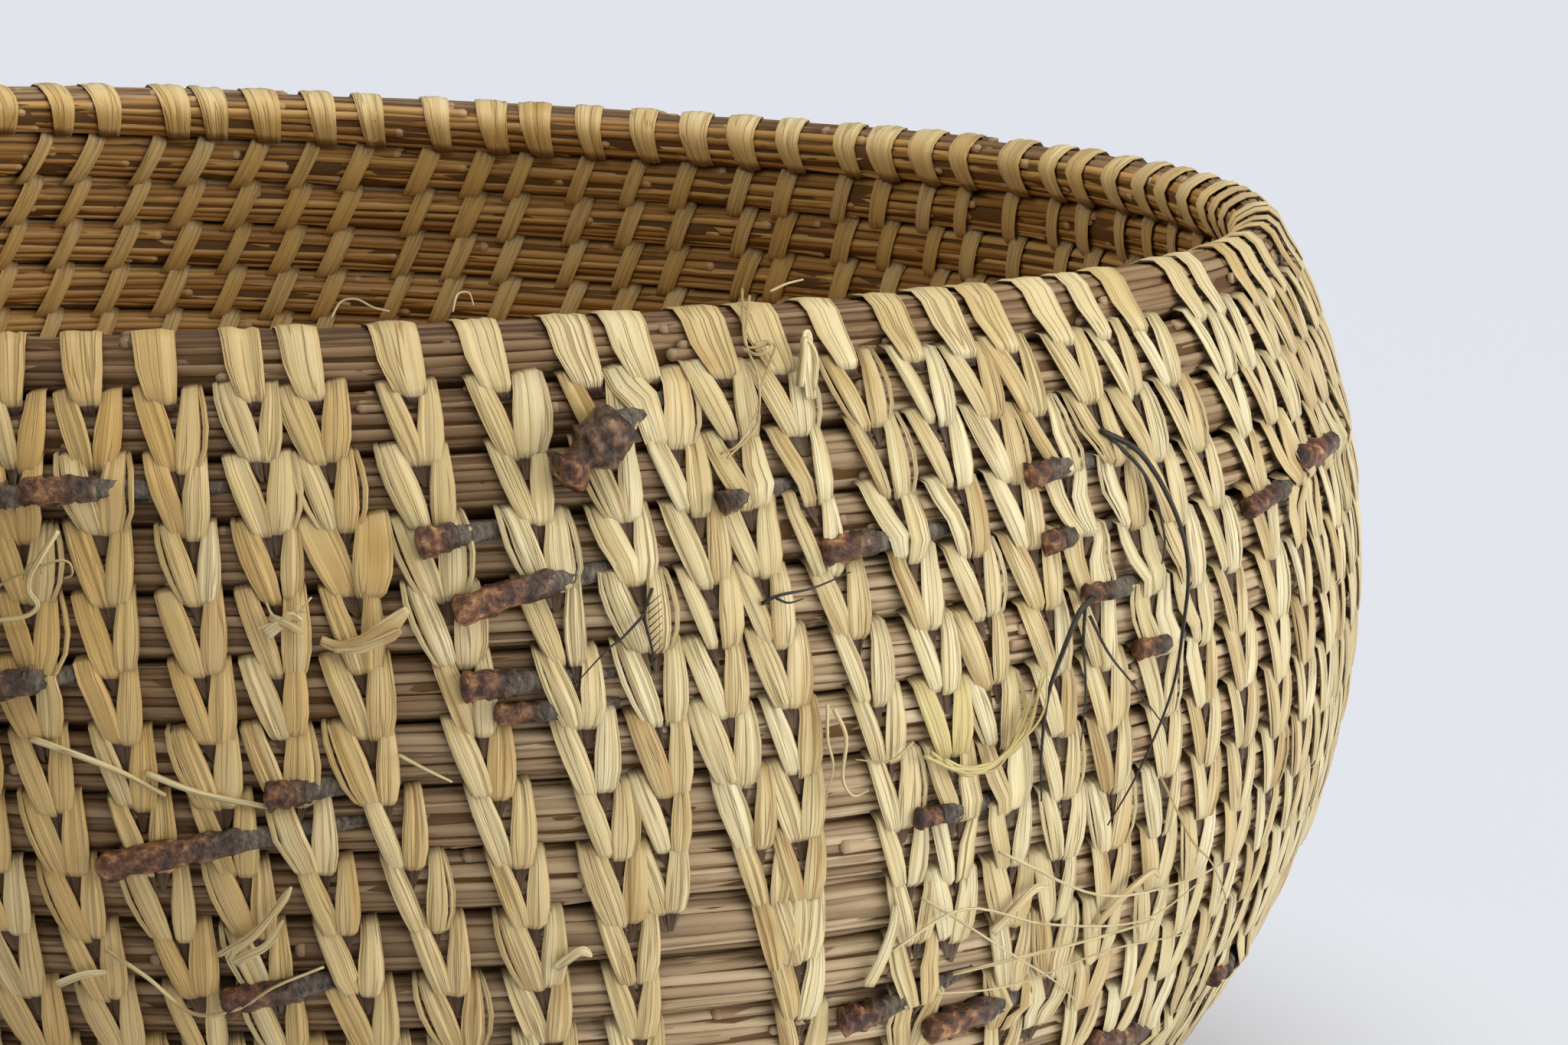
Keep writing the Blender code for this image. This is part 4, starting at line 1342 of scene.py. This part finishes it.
# %% Black threads
BLACK_THREADS = (
    (0.42, 0.10, ((-47.6, 2.10, 1.2), (-45.5, 2.53, 2.4), (-44.0, 3.44, 3.4), (-43.5, 4.30, 3.8),
                  (-44.1, 5.24, 3.6), (-44.7, 6.19, 3.0), (-46.5, 7.35, 2.2), (-48.1, 8.15, 1.6))),
    (0.30, 0.10, ((-47.3, 2.17, 1.4), (-45.2, 2.91, 2.2), (-44.6, 3.77, 2.6), (-44.9, 4.24, 2.4))),
    (0.45, 0.12, ((-50.2, 4.55, 2.2), (-51.6, 4.72, 3.0), (-52.8, 5.30, 2.8), (-53.5, 5.92, 2.2),
                  (-53.6, 6.78, 1.8), (-53.2, 7.53, 1.5))),
    (0.26, 0.08, ((-51.0, 4.66, 2.6), (-51.2, 5.20, 2.6), (-50.8, 5.89, 2.0), (-50.8, 6.78, 1.6))),
    (0.24, 0.08, ((-50.7, 4.80, 2.6), (-49.5, 5.40, 2.8), (-47.6, 5.94, 2.6), (-44.2, 6.83, 1.8))),
    (0.28, 0.08, ((-69.6, 4.05, 0.8), (-68.8, 3.94, 1.8), (-67.1, 3.88, 2.2), (-65.1, 3.70, 2.6))),
    (0.20, 0.08, ((-69.0, 3.98, 1.8), (-68.4, 4.06, 2.0), (-67.6, 4.02, 2.0))),
    (0.24, 0.14, ((-75.2, 3.70, 1.2), (-75.7, 4.06, 1.8), (-75.5, 4.41, 2.0), (-75.2, 4.75, 1.4))),
    (0.20, 0.07, ((-75.7, 4.06, 1.8), (-76.9, 4.38, 2.2), (-77.7, 4.55, 2.2), (-79.6, 5.15, 1.4))),
    (0.12, 0.06, ((-79.0, 4.95, 1.5), (-79.9, 5.00, 1.6), (-80.5, 5.15, 1.3))),
)
THREAD_TONE_STEP = 0.1
FEATHER_BARBS = 9
FEATHER_STEM = ((-75.6, 3.95, 1.9), (-75.3, 4.75, 1.6))
BARB_REACH = (0.75, -0.16, 0.2)
BARB_SHORTENING = 0.05
BARB_RADII = (0.09, 0.04)
PLAIN_TONE = 0.5


def feather_barbs():
    """Short barbs on one side of the feathery thread."""
    barbs = []
    for number in range(FEATHER_BARBS):
        root = between(np.array(FEATHER_STEM), number / (FEATHER_BARBS - 1))
        tip = root + np.array(BARB_REACH) * (1 - BARB_SHORTENING * number, 1, 1)
        barbs.append(loose_strand((root, (root + tip) / 2, tip), *BARB_RADII, PLAIN_TONE))
    return barbs


threads = table_strands(BLACK_THREADS, THREAD_TONE_STEP) + feather_barbs()
dress(join_tubes("black_threads", threads, thread_finish), "cap_bark")

# %% Pale loose fibres
PALE_FIBRES = (
    (0.20, 0.13, ((-106.4, 3.39, 1.4), (-105.6, 3.26, 1.9), (-104.6, 3.15, 2.2), (-103.5, 3.03, 2.4),
                  (-102.9, 3.06, 2.2), (-102.8, 3.22, 1.7), (-103.2, 3.28, 1.4))),
    (0.42, 0.30, ((-103.5, 2.60, 2.6), (-104.2, 2.98, 3.0), (-104.7, 3.22, 2.6), (-104.8, 3.46, 2.2),
                  (-104.4, 3.66, 1.8), (-104.8, 3.80, 1.6), (-105.6, 3.86, 1.5), (-107.0, 3.92, 1.4))),
    (0.16, 0.10, ((-105.2, 3.30, 1.6), (-104.9, 3.08, 2.0), (-104.4, 3.06, 2.0), (-104.3, 3.22, 1.6))),
    (0.40, 0.22, ((-95.9, 8.86, 1.5), (-95.2, 8.70, 1.9), (-94.1, 8.45, 2.2), (-92.5, 7.82, 2.2))),
    (0.30, 0.18, ((-101.4, 8.82, 1.2), (-99.4, 9.24, 1.6), (-97.3, 9.81, 1.8), (-95.1, 9.74, 1.8),
                  (-93.3, 9.37, 1.9), (-90.9, 9.08, 1.5))),
    (0.48, 0.30, ((-104.7, 5.61, 0.7), (-102.5, 5.83, 1.0), (-100.3, 6.10, 0.8), (-98.3, 6.44, 0.5))),
    (0.45, 0.35, ((-99.2, 6.10, 0.7), (-96.7, 6.39, 0.9), (-93.5, 6.63, 0.6))),
    (0.25, 0.15, ((-87.4, 5.89, 1.2), (-86.0, 6.13, 1.6), (-84.9, 6.32, 1.2))),
    (0.30, 0.14, ((-66.0, 5.67, 1.4), (-65.5, 6.08, 2.2), (-65.7, 6.65, 2.6), (-65.0, 6.96, 2.2),
                  (-64.0, 6.94, 1.6))),
    (0.24, 0.12, ((-66.3, 5.60, 1.2), (-66.4, 6.10, 1.8), (-66.1, 6.50, 2.0), (-66.3, 7.00, 1.4))),
    (0.28, 0.16, ((-57.1, 10.19, 1.4), (-52.1, 10.04, 2.4), (-46.0, 9.98, 2.8), (-41.9, 10.08, 1.6))),
    (0.22, 0.12, ((-61.4, 9.61, 1.2), (-57.6, 9.01, 2.4), (-52.0, 9.50, 3.0), (-44.0, 9.92, 2.6),
                  (-38.0, 9.68, 1.5))),
    (0.22, 0.12, ((-55.6, 8.23, 1.4), (-48.3, 9.22, 2.8), (-41.0, 9.42, 2.8), (-35.0, 9.47, 1.4))),
    (0.18, 0.10, ((-58.6, 10.50, 1.2), (-53.0, 10.55, 2.2), (-46.0, 10.30, 2.6), (-37.0, 10.65, 1.4))),
    (0.20, 0.10, ((-60.0, 8.80, 1.0), (-54.0, 9.90, 2.4), (-50.0, 10.60, 2.2), (-46.5, 11.30, 1.2))),
    (0.18, 0.10, ((-44.0, 7.60, 1.2), (-41.0, 8.70, 2.4), (-38.0, 9.30, 2.4), (-33.0, 10.40, 1.2))),
    (0.16, 0.10, ((-61.5, 6.30, 1.4), (-63.0, 6.52, 1.9), (-64.8, 6.45, 1.6))),
)
FIBRE_TONE_STEP = 0.06
PATCH_FIBRES = 9
PATCH_RADII = (0.30, 0.10)
PATCH_LEFT = ((-60.6, 6.50, 1.4), (-59.4, 6.80, 1.8), (-57.6, 6.92, 2.0),
              (-56.0, 6.66, 1.8), (-54.9, 6.20, 1.2))
PATCH_RIGHT = ((-59.2, 6.74, 1.6), (-57.6, 6.86, 2.2), (-55.6, 6.60, 2.8),
               (-54.3, 6.05, 3.0), (-53.6, 5.36, 2.4))
PATCH_WOBBLES = (0.25, 0.06, 0.25)
TUFT_PLACE = (-92.7, 3.93, 1.4)
TUFT_CURLS = 9
TUFT_REACH = (1.0, 0.28, 0.9)
TUFT_BEND = 0.6
TUFT_TURN = (0.5, 0.16)
TUFT_TURN_RISE = 0.2
TUFT_RADII = (0.26, 0.12)
RIBBON_SIDES = 9
RIBBON_THICKNESS = 0.2
RIBBON_CRUMPLE = 0.2
RIBBON_END_SHARE = 0.35
RIBBON_NARROWING = 4
RIBBONS = (
    (0.6, 1.5, 0.02, ((-91.0, 4.20, 0.9), (-90.2, 4.28, 1.2), (-89.2, 4.22, 1.8), (-88.1, 4.01, 2.4),
                      (-87.0, 3.80, 2.8))),
    (0.5, 0.8, 0.08, ((-90.4, 4.34, 1.0), (-89.3, 4.34, 1.6), (-88.2, 4.22, 2.2), (-87.3, 4.10, 2.6))),
    (0.9, 0.5, 0.30, ((-93.6, 4.10, 1.2), (-92.9, 3.95, 1.7), (-92.4, 3.84, 2.0), (-91.9, 3.92, 1.8))),
    (0.7, 0.4, 0.20, ((-93.4, 3.86, 1.3), (-92.8, 3.92, 1.9), (-92.2, 4.02, 2.0), (-91.8, 4.10, 1.4))),
    (1.0, 0.9, 0.75, ((-65.9, 1.15, 1.0), (-65.9, 0.70, 1.4), (-65.8, 0.38, 1.8), (-65.5, 0.18, 1.6),
                      (-65.3, 0.40, 1.0))),
    (0.9, 0.5, 0.45, ((-95.4, 8.95, 1.3), (-95.0, 8.72, 1.6), (-94.0, 8.45, 2.0), (-92.9, 8.02, 2.0),
                      (-92.4, 7.80, 1.6))),
    (0.8, 0.4, 0.40, ((-95.2, 8.98, 1.4), (-94.6, 8.85, 1.9), (-93.6, 8.68, 1.9), (-92.8, 8.30, 1.8))),
    (0.7, 0.6, 0.50, ((-79.6, 9.30, 1.0), (-79.0, 9.10, 1.6), (-78.4, 8.98, 1.8), (-77.9, 9.12, 1.4))),
    (1.2, 0.9, 0.85, ((-62.4, 10.2, 0.8), (-62.0, 9.70, 1.3), (-61.7, 9.20, 1.5), (-61.6, 8.85, 1.1))),
    (0.9, 0.6, 0.65, ((-55.0, 9.60, 1.2), (-54.2, 9.20, 2.0), (-53.0, 8.90, 2.2), (-52.0, 8.95, 1.6))),
    (0.8, 0.5, 0.35, ((-47.0, 9.90, 1.2), (-45.8, 9.40, 2.2), (-44.0, 9.10, 2.4), (-42.6, 9.30, 1.6))),
    (0.6, 0.4, 0.55, ((-104.0, 9.40, 1.2), (-102.6, 9.20, 1.6), (-101.4, 9.16, 1.4))),
)


def ribbon(start_width, end_width, tone, stops):
    """A flat ribbon through stops on the wall, with half-widths in mm at its two ends."""
    centres = smooth_line(stops)
    walk = np.linspace(0, 1, len(centres))[:, None]
    half_width = between((start_width, end_width), walk) * MM
    half_width = half_width * np.minimum(1, RIBBON_END_SHARE + RIBBON_NARROWING * (1 - walk))
    turn = (FULL_TURN * np.arange(RIBBON_SIDES) / RIBBON_SIDES)[None, :]
    radii = 1 / np.hypot(np.cos(turn) / half_width, np.sin(turn) / (RIBBON_THICKNESS * MM))
    crumple = 1 + RIBBON_CRUMPLE * (strip_random.random((1, RIBBON_SIDES)) - 0.5)
    return round_strand(centres, radii * crumple, RIBBON_SIDES, tone)


def patch_fibres():
    """The yellow-green frayed V: fine fibres sweeping from its tip up to the right."""
    fibres = []
    for number in range(PATCH_FIBRES):
        stops = between(np.array((PATCH_LEFT, PATCH_RIGHT)), number / (PATCH_FIBRES - 1))
        stops = stops + np.array([[wobble(most) for most in PATCH_WOBBLES] for _ in stops])
        fibres.append(loose_strand(stops, *PATCH_RADII, GREEN_TONE))
    return fibres


def tuft_curls():
    """A small frayed tuft of short curls."""
    curls = []
    centre = np.array(TUFT_PLACE)
    for _ in range(TUFT_CURLS):
        reach = np.array([wobble(most) for most in TUFT_REACH])
        reach[2] = abs(reach[2])
        turned = np.array([*map(wobble, TUFT_TURN), TUFT_TURN_RISE])
        stops = (centre, centre + TUFT_BEND * reach, centre + reach + turned)
        curls.append(loose_strand(stops, *TUFT_RADII, PLAIN_TONE))
    return curls


fibres = table_strands(PALE_FIBRES, FIBRE_TONE_STEP) + [ribbon(*numbers) for numbers in RIBBONS]
fibres += patch_fibres() + tuft_curls()
dress(join_tubes("loose_raffia_fibres", fibres, raffia_finish), "raffia")

# %% Knot at the rim
RIM_KNOT = (
    (0.17, 0.15, ((-68.4, -0.62, 0.2), (-68.9, -0.10, 1.0), (-69.0, 0.32, 1.5), (-67.5, 0.30, 1.5),
                  (-67.9, 0.55, 1.6), (-68.7, 0.95, 1.7), (-69.0, 1.24, 1.7), (-70.2, 1.72, 1.5),
                  (-71.2, 1.85, 1.1))),
    (0.17, 0.14, ((-68.1, -0.50, 0.4), (-69.0, 0.21, 1.3), (-68.8, 0.72, 1.9), (-68.9, 1.18, 1.8),
                  (-69.4, 1.56, 1.6), (-70.9, 1.92, 1.1))),
    (0.22, 0.20, ((-69.2, 0.34, 1.2), (-68.6, 0.46, 2.0), (-67.8, 0.38, 2.0), (-67.9, 0.26, 1.6),
                  (-68.6, 0.30, 1.5))),
    (0.55, 0.45, ((-66.3, 0.95, 0.9), (-66.0, 0.50, 1.9), (-65.7, 0.28, 1.7), (-65.3, 0.55, 1.5),
                  (-65.6, 1.00, 1.0))),
    (0.18, 0.12, ((-66.8, -0.55, 0.2), (-65.9, -0.62, 0.9), (-64.9, -0.66, 1.1))),
    (0.16, 0.10, ((-90.6, -0.52, 0.0), (-90.1, -0.74, 0.4), (-89.3, -0.76, 0.6), (-88.4, -0.62, 0.6),
                  (-87.6, -0.56, 0.5))),
    (0.12, 0.08, ((-84.3, -0.52, 0.2), (-84.0, -0.78, 0.3), (-83.4, -0.80, 0.2), (-83.2, -0.60, 0.3))),
)
KNOT_TONE_STEP = 0.12

knot_threads = table_strands(RIM_KNOT, KNOT_TONE_STEP)
dress(join_tubes("rim_knot_threads", knot_threads, raffia_finish), "raffia")

# %% [markdown]
# ## Centre start
# The first needles are bent into a tight loop and wrapped over and over with raffia, and the coil turns
# round it. Each wrap runs round the loop from its middle, over the top, round the edge and back below.

# %% Centre start
WRAPS = 24
WRAP_RINGS = 16
WRAP_SPREAD = 0.56
WRAP_SLANT = 0.5
LOOP_HEIGHT = COIL_THICKNESS * (1 - FOOT_CUT_SHARE)
LOOP_RADIUS = 6.7 * MM
LOOP_HALF_WIDTH = 6.4 * MM
LOOP_TURN = np.radians(np.linspace(176, -176, WRAP_RINGS))
WRAP_LENGTH = 30 * MM
WRAP_CROSSING = 0.22 * MM
WRAP_LOOSENESS = 0.15 * MM
WRAP_SETTLE = 0.7 * MM


def wrap_strip(number):
    """One wrap of raffia round the loop at the centre."""
    lift = WRAP_CROSSING * (number % 2) + WRAP_LOOSENESS * strip_random.random()
    columns, heights = strip_section(WRAP_RINGS)
    crown = heights + lift - WRAP_SETTLE
    half_turn = math.pi / WRAPS * (1 + WRAP_SPREAD)
    spot = FULL_TURN * number / WRAPS + np.linspace(0, WRAP_SLANT, WRAP_RINGS)[:, None]
    spot = spot + columns[None, :] * half_turn
    radius = LOOP_RADIUS + (LOOP_HALF_WIDTH + crown) * np.cos(LOOP_TURN)[:, None]
    height = LOOP_HEIGHT / 2 + (LOOP_HEIGHT / 2 + crown) * np.sin(LOOP_TURN)[:, None]
    fibre = strip_fibre(WRAP_RINGS, WRAP_LENGTH, usual_tone())
    # The wraps lie inside the basket and take the painted inside shade.
    return round_axis(radius, spot, height), fibre, 0.0, INSIDE_STRIP_SHADE_MIX


wraps = [wrap_strip(number) for number in range(WRAPS)]
dress(join_tubes("centre_start_wraps", wraps, raffia_finish), "raffia", "centre_start")

# %% [markdown]
# ## Floor and light
# The photograph has a pale, slightly blue background. Its light is soft and comes from above and from the
# right, so the right of the basket is brighter, and its inside, whose wall leans over, is lit mostly by
# light that has bounced from the brown needles. Three wide suns and a faint sky do the same, and light
# the floor evenly. One small weak panel over the mouth stands for the light that falls in, and one that
# lies on the floor in front lifts the underside of the wall, as a reflector card does in a studio.

# %% Floor and lights
FLOOR_SIZE = 40.0
FLOOR_COLOUR = (0.770, 0.800, 0.872)
TOP_LIGHT = dict(azimuth=20, elevation=76, spread=60, strength=2.30, colour=(1.0, 0.99, 0.965))
SIDE_LIGHT = dict(azimuth=80, elevation=9, spread=34, strength=1.95, colour=(1.0, 0.985, 1.0))
FRONT_LIGHT = dict(azimuth=48, elevation=2, spread=40, strength=1.1, colour=(1.0, 0.985, 0.96))
SKY_COLOUR = (0.97, 0.985, 1.0)
SKY_STRENGTH = 0.16
MOUTH_PANEL = dict(spot=(0.030, -0.035, 0.205), aim=(0.105, 0.080, 0.100), size=0.08, power=0.085)
FLOOR_PANEL = dict(spot=(0.290, -0.330, 0.004), aim=(0.290, -0.330, 1.0), size=0.45, power=0.36)


def make_floor():
    """A wide flat floor."""
    shape = bmesh.new()
    bmesh.ops.create_grid(shape, x_segments=2, y_segments=2, size=FLOOR_SIZE)
    mesh = mesh_of(shape, "floor")
    material, tree, shader = new_material("pale_floor", 0.85, 0.2)
    feed(tree, shader.inputs["Base Color"], FLOOR_COLOUR)
    mesh.materials.append(material)
    add_object("floor", mesh)


make_floor()

# %% Lamps and sky
def add_lamp(name, kind, power, spot, ray):
    """A lamp at a spot, turned so that it shines along a ray."""
    lamp = bpy.data.lights.new(name, kind)
    lamp.energy = power
    turn = ray.to_track_quat("-Z", "Y").to_matrix().to_4x4()
    add_object(name, lamp).matrix_world = Matrix.Translation(spot) @ turn
    return lamp


def make_sun(name, azimuth, elevation, spread, strength, colour):
    """A soft sun. Azimuth 0 is behind the camera, and 90 is on its right."""
    turn, rise = math.radians(azimuth), math.radians(elevation)
    level = math.cos(rise)
    towards = Vector((math.sin(turn) * level, -math.cos(turn) * level, math.sin(rise)))
    lamp = add_lamp(name, "SUN", strength, towards, -towards)
    lamp.angle = math.radians(spread)
    lamp.color = colour


def make_panel(name, spot, aim, size, power):
    """A faint square panel that shines from its spot towards its aim."""
    add_lamp(name, "AREA", power, Vector(spot), Vector(aim) - Vector(spot)).size = size


def light_scene():
    """Three suns, two panels, a faint sky, and plain colours with no film look."""
    make_sun("top_light", **TOP_LIGHT)
    make_sun("side_light", **SIDE_LIGHT)
    make_sun("front_light", **FRONT_LIGHT)
    make_panel("mouth_panel", **MOUTH_PANEL)
    make_panel("floor_panel", **FLOOR_PANEL)
    world = bpy.data.worlds.new("studio")
    bpy.context.scene.world = world
    world.use_nodes = True
    background = world.node_tree.nodes["Background"]
    set_numbers(background, {"Color": (*SKY_COLOUR, 1), "Strength": SKY_STRENGTH})
    bpy.context.scene.view_settings.view_transform = "Standard"


light_scene()
